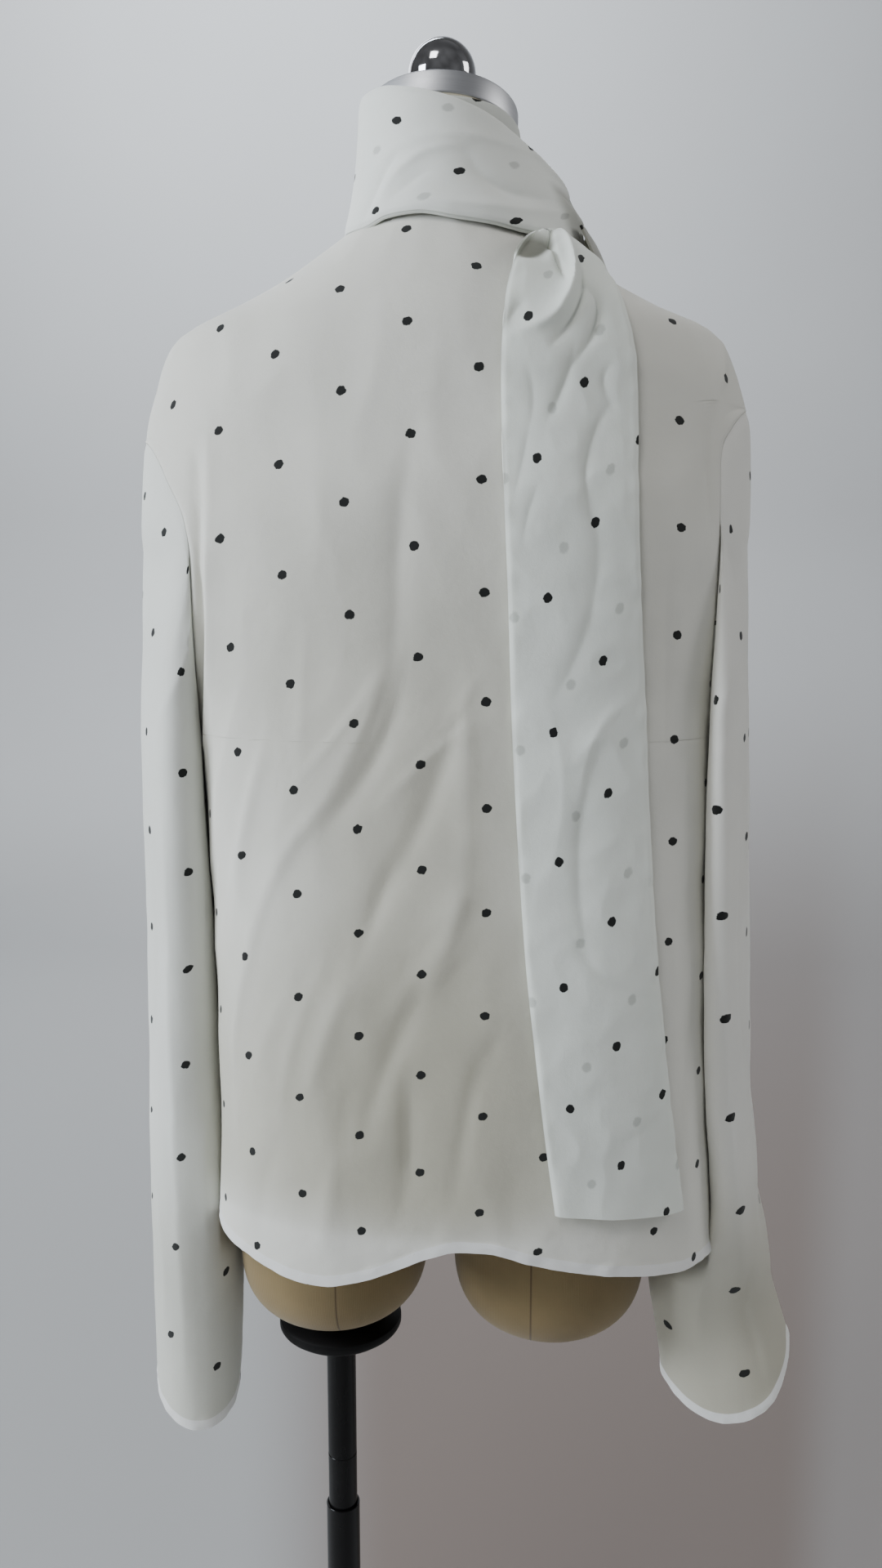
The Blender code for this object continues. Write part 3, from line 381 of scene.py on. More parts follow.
# Creases of the sleeves: a is the distance round from the back of the sleeve, towards the
# outside (plus) or the body (minus), and b is the height.
SLEEVE_CREASES = {
    "left": (
        (0.010, 1.060, 0.006, 0.860, 0.004, 0.640, 0.005, 0.009, 0.0016),
        (-0.030, 1.230, -0.012, 1.170, 0.012, 1.120, 0.006, 0.008, 0.0016),
        (0.030, 1.050, 0.022, 0.960, 0.030, 0.880, 0.008, 0.010, -0.0012),
        (-0.024, 0.870, -0.016, 0.800, -0.020, 0.730, 0.007, 0.008, 0.0012),
        (0.060, 1.180, 0.050, 1.080, 0.054, 0.980, 0.010, 0.010, 0.0018),
        (0.074, 0.960, 0.064, 0.860, 0.070, 0.760, 0.010, 0.009, -0.0016),
        (-0.052, 1.090, -0.044, 1.050, -0.040, 1.000, 0.006, 0.006, 0.0014),
        (0.028, 0.780, 0.020, 0.720, 0.024, 0.660, 0.006, 0.008, 0.0010),
    ),
    "right": (
        (0.006, 1.080, 0.004, 0.900, 0.010, 0.720, 0.007, 0.005, 0.0014),
        (0.026, 1.240, 0.012, 1.170, -0.008, 1.110, 0.006, 0.008, 0.0014),
        (0.032, 1.040, 0.026, 0.960, 0.034, 0.880, 0.008, 0.010, -0.0012),
        (0.052, 0.900, 0.040, 0.830, 0.030, 0.760, 0.010, 0.008, 0.0020),
        (-0.012, 0.800, -0.014, 0.740, -0.022, 0.680, 0.008, 0.008, 0.0018),
        (0.020, 0.760, 0.016, 0.700, 0.020, 0.650, 0.007, 0.008, -0.0016),
        (0.066, 1.180, 0.058, 1.080, 0.060, 0.960, 0.010, 0.012, 0.0016),
    ),
}

# Scarf wrapped round the neck. The angle runs from the middle of the back (0) over the
# wearer's right (90) and the front (180) to the left (270).
WRAP = Table(
    "angle low_radius low_height high_radius high_height sag inner_height skirt",
    (-85.0, 0.0632, 1.4371, 0.0535, 1.5190, 2.6, 1.5120, 0.004),
    (-40.0, 0.0695, 1.4306, 0.0535, 1.5165, 2.2, 1.5090, 0.002),
    (-24.0, 0.0700, 1.4344, 0.0535, 1.5135, 2.0, 1.5080, 0.002),
    (-8.0, 0.0700, 1.4352, 0.0535, 1.5100, 1.9, 1.5070, 0.002),
    (13.0, 0.0710, 1.4315, 0.0535, 1.5050, 1.6, 1.5065, 0.002),
    (31.0, 0.0745, 1.4291, 0.0535, 1.5005, 1.4, 1.5060, 0.002),
    (50.0, 0.0805, 1.4262, 0.0540, 1.4955, 1.1, 1.5050, 0.002),
    (64.0, 0.0865, 1.4262, 0.0545, 1.4920, 0.85, 1.5030, 0.003),
    (80.0, 0.0935, 1.4262, 0.0550, 1.4895, 0.65, 1.5000, 0.003),
    (95.0, 0.0965, 1.4270, 0.0555, 1.4900, 0.55, 1.4950, 0.003),
    (115.0, 0.0985, 1.4250, 0.0560, 1.4960, 0.6, 1.4940, 0.003),
    (150.0, 0.1030, 1.4180, 0.0580, 1.4960, 1.0, 1.4910, 0.006),
    (185.0, 0.0980, 1.4080, 0.0590, 1.4930, 1.0, 1.4880, 0.006),
    (230.0, 0.0840, 1.4300, 0.0570, 1.5050, 1.6, 1.5000, 0.004),
    (275.0, 0.0632, 1.4371, 0.0535, 1.5190, 2.6, 1.5120, 0.004),
)
WRAP_START = -85.0
WRAP_CREASES_PART = 230.0
WRAP_BOW = 0.0010
WRAP_TURN_IN = 0.0016
FOOT_ROLL = 0.025
HEAD_ROLL = 0.020
HEAD_ROLL_SHARE = 0.6

# Creases of the wrap: a is the angle in hundreds of degrees and b the share of its height.
WRAP_CREASES = (
    (0.85, 0.84, 0.12, 0.68, -0.44, 0.38, 0.07, 0.12, 0.0016),
    (-0.22, 0.46, -0.34, 0.28, -0.41, 0.06, 0.05, 0.05, -0.0024),
    (0.18, 0.62, -0.13, 0.42, -0.30, 0.14, 0.06, 0.09, 0.0022),
    (-0.02, 0.34, -0.12, 0.24, -0.24, 0.10, 0.05, 0.06, -0.0012),
    (0.22, 0.54, 0.38, 0.33, 0.70, 0.37, 0.09, 0.10, -0.0030),
    (-0.14, 0.10, 0.28, 0.13, 0.74, 0.27, 0.10, 0.08, 0.0022),
    (0.72, 0.46, 0.86, 0.30, 1.00, 0.24, 0.16, 0.12, 0.0044),
    (0.62, 0.96, 0.80, 0.72, 1.02, 0.52, 0.04, 0.08, 0.0036),
    (0.76, 0.56, 0.85, 0.34, 0.83, 0.04, 0.03, 0.03, -0.0026),
    (1.20, 0.75, 1.60, 0.55, 2.05, 0.60, 0.10, 0.12, 0.0032),
    (1.15, 0.48, 1.60, 0.28, 2.10, 0.36, 0.09, 0.09, -0.0028),
    (1.30, 0.24, 1.70, 0.12, 2.20, 0.20, 0.08, 0.08, 0.0024),
    (2.30, 0.80, 2.50, 0.50, 2.68, 0.25, 0.09, 0.09, 0.0018),
)

# The strip turns in along both edges: how far in and up each row of the turn lies, as shares
# of the skirt's width below and of the inner layer's rise above.
FOOT_TURN = ((0.10, 0.0010), (0.22, -0.0004), (0.42, -0.0010), (0.70, -0.0013), (1.0, -0.0015))
HEAD_TURN = ((0.0, 0.0022), (0.10, 0.0030), (0.40, 0.0030), (0.80, 0.0030), (1.0, 0.0032))
HEAD_DIP = 0.0035
# Painted shade on the turned-in rows of both edges of the wrap
TURN_SHADE = 0.16

# The wrap's end folds over beside the shoulder; between these angles its shade is painted into the colour.
LOBE_START = 68.0
LOBE_START_EASE = 8.0
LOBE_END = 135.0
LOBE_END_EASE = 20.0
LOBE_TOP = 0.62
LOBE_TOP_EASE = 0.14
LOBE_SHADE = 0.55

# Scarf crossing the front below the wrap and up over the wearer's right shoulder: heights on
# the torso's surface of its two edges, and how far they stand off it.
COWL = Table(
    "angle low_height low_lift high_height high_lift",
    (76.0, 1.4085, 0.0060, 1.4212, 0.0190),
    (94.0, 1.4078, 0.0065, 1.4212, 0.0200),
    (110.0, 1.3900, 0.0037, 1.4215, 0.0140),
    (135.0, 1.3690, 0.0035, 1.4140, 0.0070),
    (160.0, 1.3480, 0.0033, 1.4030, 0.0060),
    (185.0, 1.3380, 0.0033, 1.3960, 0.0055),
    (210.0, 1.3520, 0.0033, 1.4040, 0.0055),
    (232.0, 1.3850, 0.0033, 1.4170, 0.0050),
    (245.0, 1.4080, 0.0033, 1.4210, 0.0045),
)
COWL_BOW = 0.004
COWL_EDGE_CALM = 0.5
COWL_STRAIGHT = 25.0
# Painted shade at the cowl's start beside the shoulder, fading out by COWL_SHADE_END
COWL_SHADE = 0.75
COWL_SHADE_END = 112.0

# Creases of the cowl: a is the angle in hundreds of degrees and b the share of its fall.
COWL_CREASES = (
    (0.98, 0.30, 1.60, 0.36, 2.30, 0.30, 0.10, 0.14, 0.0026),
    (1.00, 0.52, 1.55, 0.60, 2.24, 0.50, 0.09, 0.09, -0.0022),
    (1.02, 0.74, 1.62, 0.80, 2.20, 0.72, 0.09, 0.10, 0.0022),
)

# Scarf end hanging down the back: its edges across the back panel at each height, and how far
# it stands off the panel.
TAIL = Table(
    "height left right lift",
    (1.4360, -0.0690, -0.0750, 0.0020),
    (1.4270, -0.0650, -0.0745, 0.0055),
    (1.4170, -0.0590, -0.0790, 0.0105),
    (1.4065, -0.0530, -0.0890, 0.0125),
    (1.3930, -0.0485, -0.1030, 0.0110),
    (1.3695, -0.0452, -0.1150, 0.0085),
    (1.3400, -0.0440, -0.1225, 0.0062),
    (1.3120, -0.0445, -0.1246, 0.0045),
    (1.2655, -0.0467, -0.1257, 0.0040),
    (1.1880, -0.0502, -0.1295, 0.0040),
    (1.1435, -0.0517, -0.1328, 0.0040),
    (1.0600, -0.0562, -0.1375, 0.0040),
    (0.9750, -0.0625, -0.1443, 0.0040),
    (0.9140, -0.0693, -0.1507, 0.0045),
    (0.8600, -0.0757, -0.1570, 0.0050),
    (0.8080, -0.0826, -0.1645, 0.0055),
)
TAIL_CROWN = 0.0010
TAIL_PLUMB_HEIGHT = 1.424
TAIL_END_RISE = 0.006
TAIL_END_DROP = 0.002
TAIL_EDGE_ROLL = 0.0009
TAIL_EDGE_WIDTH = 0.0016
TAIL_PUCKER_WIDTH = 0.005
TAIL_EDGE_CALM = 0.35
TAIL_END_POWER = 6
TAIL_POCKET = (-0.0530, 1.4030, -0.0620, 1.4130, -0.0760, 1.4170, 0.0120, 0.0110, 1.0)
TAIL_POCKET_DEPTH = 0.006
TAIL_POCKET_FROM = 0.12
TAIL_POCKET_EASE = 0.55
# Painted shade in the pocket under the wrap and along the tail's troughs
TAIL_POCKET_SHADE = 0.80
TAIL_FOLD_SHADE = 35.0
TAIL_SOFTNESS = 0.62
TAIL_CRISP_HEIGHT = 1.33
TAIL_CRISP_EASE = 0.05
TAIL_TOP_CALM = 1.434
TAIL_TOP_EASE = 0.012
TAIL_CREASES = (
    # fold line beside the pocket at the top and the roll that winds out of it
    (-0.0723, 1.4348, -0.0749, 1.4113, -0.0814, 1.3902, 0.0017, 0.0017, -0.0040),
    (-0.0759, 1.4327, -0.0853, 1.3956, -0.0796, 1.3729, 0.0035, 0.0070, 0.0065),
    (-0.0824, 1.3798, -0.0730, 1.3642, -0.0522, 1.3570, 0.0080, 0.0070, 0.0052),
    (-0.0902, 1.4021, -0.0907, 1.3758, -0.0746, 1.3502, 0.0035, 0.0040, -0.0048),
    (-0.0927, 1.3879, -0.1016, 1.3660, -0.0838, 1.3350, 0.0035, 0.0045, -0.0045),
    (-0.0875, 1.3476, -0.0811, 1.3255, -0.0728, 1.3075, 0.0040, 0.0050, -0.0030),
    (-0.1092, 1.3378, -0.1050, 1.3271, -0.1115, 1.3121, 0.0030, 0.0040, -0.0022),
    (-0.0601, 1.3337, -0.0633, 1.3205, -0.0624, 1.3045, 0.0030, 0.0040, -0.0014),
    (-0.0576, 1.3743, -0.0492, 1.3642, -0.0484, 1.3526, 0.0050, 0.0060, -0.0030),
    # dents and folds down its length
    (-0.1091, 1.3150, -0.0954, 1.2816, -0.1007, 1.2450, 0.0040, 0.0050, -0.0034),
    (-0.0994, 1.2596, -0.1016, 1.2010, -0.0799, 1.1447, 0.0070, 0.0090, -0.0024),
    (-0.0612, 1.3031, -0.0578, 1.2812, -0.0509, 1.2520, 0.0030, 0.0040, -0.0012),
    (-0.0672, 1.2667, -0.0619, 1.2520, -0.0584, 1.2339, 0.0030, 0.0040, -0.0012),
    (-0.1278, 1.1403, -0.1050, 1.1216, -0.0950, 1.0832, 0.0060, 0.0080, 0.0022),
    (-0.1072, 1.1100, -0.0947, 1.0521, -0.1016, 0.9815, 0.0070, 0.0090, -0.0024),
    (-0.0720, 1.1400, -0.0840, 1.0900, -0.0760, 1.0300, 0.0060, 0.0080, 0.0010),
    (-0.0916, 0.9975, -0.1116, 0.9672, -0.1459, 0.9519, 0.0040, 0.0050, -0.0012),
    (-0.1517, 0.8791, -0.1395, 0.8692, -0.1255, 0.8609, 0.0030, 0.0040, -0.0012),
)

# How the print runs off the grain on each piece as it was cut and hangs. A dot's place moves
# across, and up, by these shares of 1, its place across, its place up, and their products
# (across twice, across and up, up twice).
GRAIN = {
    "back": ((0.0068, -0.021, 0.033, 0.0, -0.117, 0.060), (0.0175, 0.011, -0.008, 0.524, 0.122, -0.028)),
    "sleeve_left": ((-0.0074, -0.007, 0.028, 0.0, -0.05, 0.184), (0.0115, -0.05, -0.016, 0.0, 0.03, 0.102)),
    "sleeve_right": ((0.0027, -0.25, 0.038, 0.0, 0.0, 0.046), (0.0296, -0.006, -0.05, 0.03, 0.59, 0.02)),
    "tail": ((-0.0150, -0.039, -0.138, -0.075, -0.283, 0.0), (0.0292, 0.117, 0.015, 0.156, 0.0, 0.135)),
    "wrap": ((-0.0090, -0.125, 0.051, 0.0, 0.0, 0.0), (-0.0051, 0.041, 0.156, 0.0, 0.0, 0.0)),
}

# Dress form: half width, depths to the back and front.
FORM = Table(
    "height half back front",
    (1.4980, 0.0490, 0.0490, 0.0490),
    (1.4700, 0.0495, 0.0500, 0.0500),
    (1.4420, 0.0530, 0.0530, 0.0530),
    (1.4290, 0.0620, 0.0560, 0.0590),
    (1.4150, 0.0860, 0.0660, 0.0700),
    (1.4000, 0.1130, 0.0740, 0.0760),
    (1.3800, 0.1500, 0.0820, 0.0800),
    (1.3640, 0.1740, 0.0880, 0.0830),
    (1.3450, 0.1800, 0.0910, 0.0860),
    (1.3100, 0.1780, 0.0940, 0.0920),
    (1.2700, 0.1670, 0.0980, 0.1000),
    (1.2200, 0.1440, 0.0980, 0.1150),
    (1.1600, 0.1400, 0.0920, 0.1120),
    (1.0800, 0.1280, 0.0850, 0.0950),
    (1.0300, 0.1220, 0.0850, 0.0900),
    (0.9600, 0.1300, 0.0950, 0.0950),
    (0.8800, 0.1400, 0.1050, 0.1030),
    (0.8300, 0.1430, 0.1040, 0.1020),
    (0.8000, 0.1400, 0.0900, 0.0900),
    (0.7850, 0.1200, 0.0650, 0.0650),
)
FORM_TOP = 1.4980
FORM_BOTTOM = 0.7850
FORM_POWER = 2.2
NECK_TILT = math.radians(12.0)
NECK_TILT_FROM = 1.46
STUB_X = 0.0800
STUB_FLOOR = 0.672
STUB_RADIUS = 0.0700
STUB_SHOULDER = 0.735
STUB_POWER = 2.9
STUB_NECK = ((0.002, 0.850), (0.0640, 0.849), (0.0690, 0.790))
PART_GAP = 0.0003
NECK_LINING = 1.455
NECK_LINING_EDGE = 0.004
COVER_SEAM_X = 0.068

# Neck plate and knob, in the plate's own tilted frame
PLATE_TOP = 1.513
PLATE_RADIUS = 0.0503
PLATE_THICKNESS = 0.015
PLATE_EDGE = 0.0012
KNOB_RADIUS = 0.0222
KNOB_CENTRE = 0.0283
KNOB_FROM = 13.8
KNOB_TO = 146.4
KNOB_STEM = ((0.0085, 0.0075), (0.0085, 0.0), (0.001, 0.0))

# Stand: radius and height of each corner of the turned pieces; the flange hangs from its top
POLE_X = 0.0765
FLANGE_DEPTH = 0.0207
FLANGE = (
    (0.001, 0.0), (0.0300, 0.0), (0.0440, -0.0045), (0.0457, -0.0060), (0.0460, -0.0080),
    (0.0460, -0.0110), (0.0452, -0.0124), (0.0400, -0.0165), (0.0260, -0.0205),
    (0.001, -FLANGE_DEPTH),
)
POLE_RADIUS = 0.0110
POLE = (
    (POLE_RADIUS, 0.5510), (0.0107, 0.5506), (0.0107, 0.5494), (0.0110, 0.5490), (0.0110, 0.2010),
    (0.0100, 0.2000), (0.001, 0.2000),
)
TUBE = (
    (0.001, 0.0500), (0.0114, 0.0500), (0.0114, 0.5065), (0.0117, 0.5070), (0.0125, 0.5070),
    (0.0128, 0.5066), (0.0128, 0.0303), (0.001, 0.0303),
)
BASE = (
    (0.001, 0.0300), (0.0255, 0.0300), (0.0270, 0.0295), (0.0300, 0.0260), (0.0320, 0.0200),
    (0.0345, 0.0168), (0.1000, 0.0146), (0.1850, 0.0120), (0.1990, 0.0106), (0.2035, 0.0080),
    (0.2050, 0.0050), (0.2050, 0.0006), (0.2044, 0.0), (0.001, 0.0),
)


def smooth(share):
    """A share from 0 to 1, eased at both ends."""
    share = np.clip(share, 0.0, 1.0)
    return share * share * (3.0 - 2.0 * share)


def power_point(angle, across, along, power):
    """A point on a superellipse, `angle` round from its +across side."""
    cosine = np.cos(angle)
    sine = np.sin(angle)
    first = across * np.sign(cosine) * np.abs(cosine) ** (2.0 / power)
    second = along * np.sign(sine) * np.abs(sine) ** (2.0 / power)
    return first, second


def power_reach(place, half, power):
    """How far out a superellipse reaches at a place along its other axis, as a share."""
    return np.clip(1.0 - np.abs(place / half) ** power, 0.0, 1.0) ** (1.0 / power)


def power_level(x, y, half, depth, power):
    """Which shell round a superellipse points lie on: 1 is its edge, and more is further out."""
    return (np.abs(x / half) ** power + np.abs(y / depth) ** power) ** (1.0 / power)


def either(table, plus, minus, place, height):
    """A table's `plus` column where `place` is over 0, and its `minus` column elsewhere."""
    return np.where(place > 0.0, table.read(plus, height), table.read(minus, height))


def joined(grid):
    """A round grid with its first column repeated at its end."""
    return np.concatenate((grid, grid[:, :1]), axis=1)


def even_steps(points, fractions):
    """Points at the given fractions of a dense line's length."""
    lengths = np.linalg.norm(np.diff(points, axis=0), axis=1)
    travelled = np.concatenate(([0.0], np.cumsum(lengths)))
    wanted = np.asarray(fractions) * travelled[-1]
    columns = [np.interp(wanted, travelled, points[:, i]) for i in range(points.shape[1])]
    return np.stack(columns, axis=1)


def run_lengths(points, axis):
    """Distance travelled along one direction of a grid of points."""
    steps = np.linalg.norm(np.diff(points, axis=axis), axis=2)
    start = np.zeros_like(np.take(steps, [0], axis=axis))
    return np.concatenate((start, np.cumsum(steps, axis=axis)), axis=axis)


def grid_normals(points):
    """Unit normals of a grid whose rows run down and whose columns run anticlockwise."""
    across = np.gradient(points, axis=1)
    down = np.gradient(points, axis=0)
    normals = np.cross(down, across)
    lengths = np.linalg.norm(normals, axis=2, keepdims=True)
    return normals / np.maximum(lengths, 1e-12)


def crease_lift(a, b, creases):
    """How far a table's creases stand out at the points (a, b) of a cloth."""
    lift = np.zeros(np.shape(a))
    share = np.linspace(0.0, 1.0, CREASE_SAMPLES)
    for top_a, top_b, mid_a, mid_b, low_a, low_b, near, far, height in creases:
        bend_a = 2.0 * mid_a - (top_a + low_a) / 2.0
        bend_b = 2.0 * mid_b - (top_b + low_b) / 2.0
        line_a = (1 - share) ** 2 * top_a + 2 * share * (1 - share) * bend_a + share ** 2 * low_a
        line_b = (1 - share) ** 2 * top_b + 2 * share * (1 - share) * bend_b + share ** 2 * low_b
        nearest = np.full(np.shape(a), np.inf)
        side = np.zeros(np.shape(a))
        place = np.zeros(np.shape(a))
        for i in range(CREASE_SAMPLES - 1):
            run_a = line_a[i + 1] - line_a[i]
            run_b = line_b[i + 1] - line_b[i]
            from_a = a - line_a[i]
            from_b = b - line_b[i]
            along = (from_a * run_a + from_b * run_b) / (run_a ** 2 + run_b ** 2)
            held = np.clip(along, 0.0, 1.0)
            distance = np.hypot(from_a - held * run_a, from_b - held * run_b)
            closer = distance < nearest
            nearest = np.where(closer, distance, nearest)
            side = np.where(closer, run_a * from_b - run_b * from_a, side)
            place = np.where(closer, (i + held) / (CREASE_SAMPLES - 1), place)
        width = np.where(side > 0.0, near, far)
        profile = np.exp(CREASE_CREST - np.hypot(CREASE_FALL * nearest / width, CREASE_CREST))
        place = CREASE_END + (1.0 - 2.0 * CREASE_END) * place
        lift = lift + height * profile * np.sin(math.pi * place) ** CREASE_FADE
    return lift


def ripple(points, size, depth, seed):
    """Uneven waves over a cloth, `size` across and `depth` high."""
    flat = points.reshape(-1, 3) / size + seed
    values = [noise.noise(Vector(point)) for point in flat]
    return depth * np.array(values).reshape(points.shape[:2])


def waves(points, table, turn=1.0):
    """Small uneven waves over a cloth, one set for each row of a table."""
    return sum(ripple(points, size, depth, turn * start) for size, depth, start in table)


def dents(points, row, turn=1.0):
    """Small sharp-edged dents over a cloth."""
    size, depth, start = row
    return -np.abs(ripple(points, size, 2.0 * depth, turn * start))


def named(name):
    """Name the object that was just added, and its mesh."""
    piece = bpy.context.object
    piece.name = name
    piece.data.name = name
    return piece


def cloth_piece(name, points, cloth, notes, wall, closed=False):
    """A thin sheet of cloth through a grid of points, with a wall behind its outer face.

    `cloth` holds each point's place on the flat cloth in metres, and `notes` what else the
    material reads at each point, by name.
    """
    if closed:
        points = joined(points)
    rows, columns = points.shape[:2]
    bpy.ops.object.select_all(action="DESELECT")
    bpy.ops.mesh.primitive_grid_add(x_subdivisions=columns - 1, y_subdivisions=rows - 1)
    piece = named(name)
    mesh = piece.data
    mesh.vertices.foreach_set("co", points[::-1].reshape(-1).astype(np.float32))
    flat = cloth[::-1].reshape(-1, 2)
    order = np.empty(len(mesh.loops), dtype=np.int32)
    mesh.loops.foreach_get("vertex_index", order)
    mesh.uv_layers.active.data.foreach_set("uv", flat[order].reshape(-1).astype(np.float32))
    for note, values in notes.items():
        layer = mesh.attributes.new(note, "FLOAT", "POINT")
        layer.data.foreach_set("value", values[::-1].reshape(-1).astype(np.float32))
    mesh.update()
    if closed:
        bpy.ops.object.mode_set(mode="EDIT")
        bpy.ops.mesh.select_all(action="SELECT")
        bpy.ops.mesh.remove_doubles(threshold=WELD_DISTANCE)
        bpy.ops.object.mode_set(mode="OBJECT")
    shell = piece.modifiers.new("wall", "SOLIDIFY")
    shell.thickness = wall
    shell.offset = -1.0
    bpy.ops.object.modifier_apply(modifier=shell.name)
    bpy.ops.object.shade_smooth_by_angle(angle=CLOTH_SMOOTH_ANGLE)
    return piece


def panel_reach(side, height):
    """How far out the panels run on one side: to the shoulder, the armhole or the side seam."""
    seam = ARMHOLES[side]
    half = TORSO.read(side, height)
    if ARMHOLE_FLOOR < height < seam.keys[-1]:
        return min(half, seam.read("reach", height))
    return half


def end_angle(side, height):
    """The section's angle at which a panel ends."""
    share = min(1.0, panel_reach(side, height) / TORSO.read(side, height))
    return math.acos(share ** (TORSO.read("power", height) / 2.0))


def torso_depth(x, height, face):
    """How far back (face 1) or forward (-1) the torso's surface lies at x."""
    half = either(TORSO, "left", "right", x, height)
    share = power_reach(x, half, TORSO.read("power", height))
    return TORSO.read("back" if face > 0 else "front", height) * share


def torso_row(height, face, fractions):
    """Points of one panel's row, from the wearer's left to the right; face is 1 back, -1 front."""
    first = end_angle("left", height)
    last = math.pi - end_angle("right", height)
    angle = np.linspace(first, last, ARC_SAMPLES)
    half = either(TORSO, "left", "right", np.cos(angle), height)
    depth = TORSO.read("back" if face > 0 else "front", height)
    x, y = power_point(angle, half, depth, TORSO.read("power", height))
    row = even_steps(np.stack((x, face * (y + SEAM_GAP / 2.0)), axis=1), fractions)
    return np.column_stack((row, np.full(len(row), height)))


def crowded(top, bottom, count):
    """Heights from top to bottom, crowded together at both ends."""
    share = np.linspace(0.0, 1.0, count, endpoint=False)
    return top + (bottom - top) * (share - ROW_CROWDING * np.sin(math.tau * share) / math.tau)


def panel_heights():
    """Heights of a panel's rows, crowded where the armholes and the hem begin and end."""
    stops = (NECKLINE, ARMHOLE_TOP_RIGHT, ARMHOLE_TOP_LEFT, ARMHOLE_FLOOR, HEM_HEIGHT)
    stretches = [crowded(top, low, rows) for top, low, rows in zip(stops, stops[1:], PANEL_ROWS)]
    return np.concatenate((*stretches, [HEM_HEIGHT]))


def panel_surface(face, hem, columns):
    """Smooth outer face of the back (1) or front (-1) panel, before its creases."""
    share = np.linspace(0.0, 1.0, columns)
    fractions = share - COLUMN_CROWDING * np.sin(math.tau * share) / math.tau
    rows = []
    for height in panel_heights():
        row = torso_row(height, face, fractions)
        share = np.clip((HEM_BLEND_HEIGHT - height) / (HEM_BLEND_HEIGHT - HEM_HEIGHT), 0.0, 1.0)
        row[:, 2] += share * share * (hem.read("height", row[:, 0]) - HEM_HEIGHT)
        rows.append(row)
    return np.array(rows)


def panel_cloth(points, face):
    """Each point's place on the flat panel: across from the middle, and up from the bust."""
    across = run_lengths(points, 1)
    middle = [np.interp(0.0, -row[:, 0], length) for row, length in zip(points, across)]
    across = across - np.array(middle)[:, None]
    x, z = points[:, :, 0], points[:, :, 2]
    up = np.zeros(x.shape)
    last = (np.full(x.shape, BUST_HEIGHT), torso_depth(x, BUST_HEIGHT, face))
    for share in np.linspace(0.0, 1.0, RISE_SAMPLES)[1:]:
        height = BUST_HEIGHT + (z - BUST_HEIGHT) * share
        depth = torso_depth(x, height, face)
        up = up + np.hypot(height - last[0], depth - last[1])
        last = (height, depth)
    return np.stack((across, up * np.sign(z - BUST_HEIGHT)), axis=2)


def seam_distance(points):
    """Distance of a panel's points from the seams at the two ends of their row."""
    to_left = np.linalg.norm(points - points[:, :1], axis=2)
    to_right = np.linalg.norm(points - points[:, -1:], axis=2)
    return np.minimum(to_left, to_right)


def hem_lift(points, edge, width):
    """Height of a rolled hem and its small uneven puckers over the cloth it is sewn to."""
    above = edge - width
    band = 1.0 - smooth((above + HEM_STEP / 2.0) / HEM_STEP)
    stitch = np.exp(-((above + STITCH_INSET) / STITCH_GROOVE) ** 2)
    near = np.exp(-np.clip(above, 0.0, None) / HEM_PUCKER_REACH)
    return band * HEM_THICKNESS + near * waves(points, HEM_WAVES) - STITCH_DEPTH * stitch


def torso_level(x, y, height):
    """Which shell of the torso points lie on: 1 is its surface, and more is further out."""
    half = either(TORSO, "left", "right", x, height)
    depth = either(TORSO, "back", "front", y, height)
    return power_level(x, y, half, depth, TORSO.read("power", height))


def outward(points):
    """Unit normals of the torso's smooth surface, pointing away from the body."""
    rises = []
    for step in np.eye(3) * NORMAL_STEP:
        after, before = points + step, points - step
        rises.append(torso_level(*after.transpose(2, 0, 1)) - torso_level(*before.transpose(2, 0, 1)))
    normals = np.stack(rises, axis=2)
    return normals / np.linalg.norm(normals, axis=2, keepdims=True)


def crease_panel(points, face, creases, edge_folds, hem_width):
    """A panel's outer face with its creases, seams and hem worked in."""
    x, z = points[:, :, 0], points[:, :, 2]
    away = seam_distance(points)
    lift = crease_lift(x, z, creases) + waves(points, PANEL_WAVES, face)
    lift = lift + dents(points * PANEL_DENTS_STRETCH, PANEL_DENTS, face)
    lift = lift * smooth(away / SEAM_CALM)
    lift = lift + crease_lift(x, z, edge_folds) * smooth(away / FOLD_CALM)
    lift = lift - SEAM_ROLL * np.exp(-(away / SEAM_ROLL_WIDTH) ** 2)
    down = run_lengths(points, 0)
    edge = down[-1][None, :] - down
    lift = lift + hem_lift(points, edge, hem_width)
    return points + lift[:, :, None] * outward(points), edge


def armhole_loop(back, front, side):
    """The armhole's edge: from its top down the back panel, then up the front panel."""
    column = 0 if side == "left" else -1
    top = ARMHOLES[side].keys[-1]
    heights = panel_heights()
    rows = np.nonzero((heights >= ARMHOLE_FLOOR - 1e-6) & (heights <= top + 1e-6))[0]
    loop = np.concatenate((back[rows, column], front[rows[::-1], column][1:]))
    fractions = np.linspace(0.0, 1.0, SLEEVE_COLUMNS, endpoint=False)
    return even_steps(loop, fractions), fractions


def sleeve_ring(side, height, fractions):
    """A ring of a hanging sleeve, from its outer side over the back, inner side and front."""
    table = SLEEVES[side]
    sign = 1.0 if side == "left" else -1.0
    angle = np.linspace(0.0, math.tau, ARC_SAMPLES)
    wide, deep = table.read("wide", height), table.read("deep", height)
    across, along = power_point(angle, wide, deep, SLEEVE_POWER)
    ring = even_steps(np.stack((across, along), axis=1), fractions)
    turn = math.radians(table.read("turn", height))
    out = ring[:, 0] * math.cos(turn) + ring[:, 1] * math.sin(turn)
    back = ring[:, 1] * math.cos(turn) - ring[:, 0] * math.sin(turn)
    x = table.read("x", height) + sign * out
    y = table.read("y", height) + back
    return np.stack((x, y, np.full(len(x), height)), axis=1)


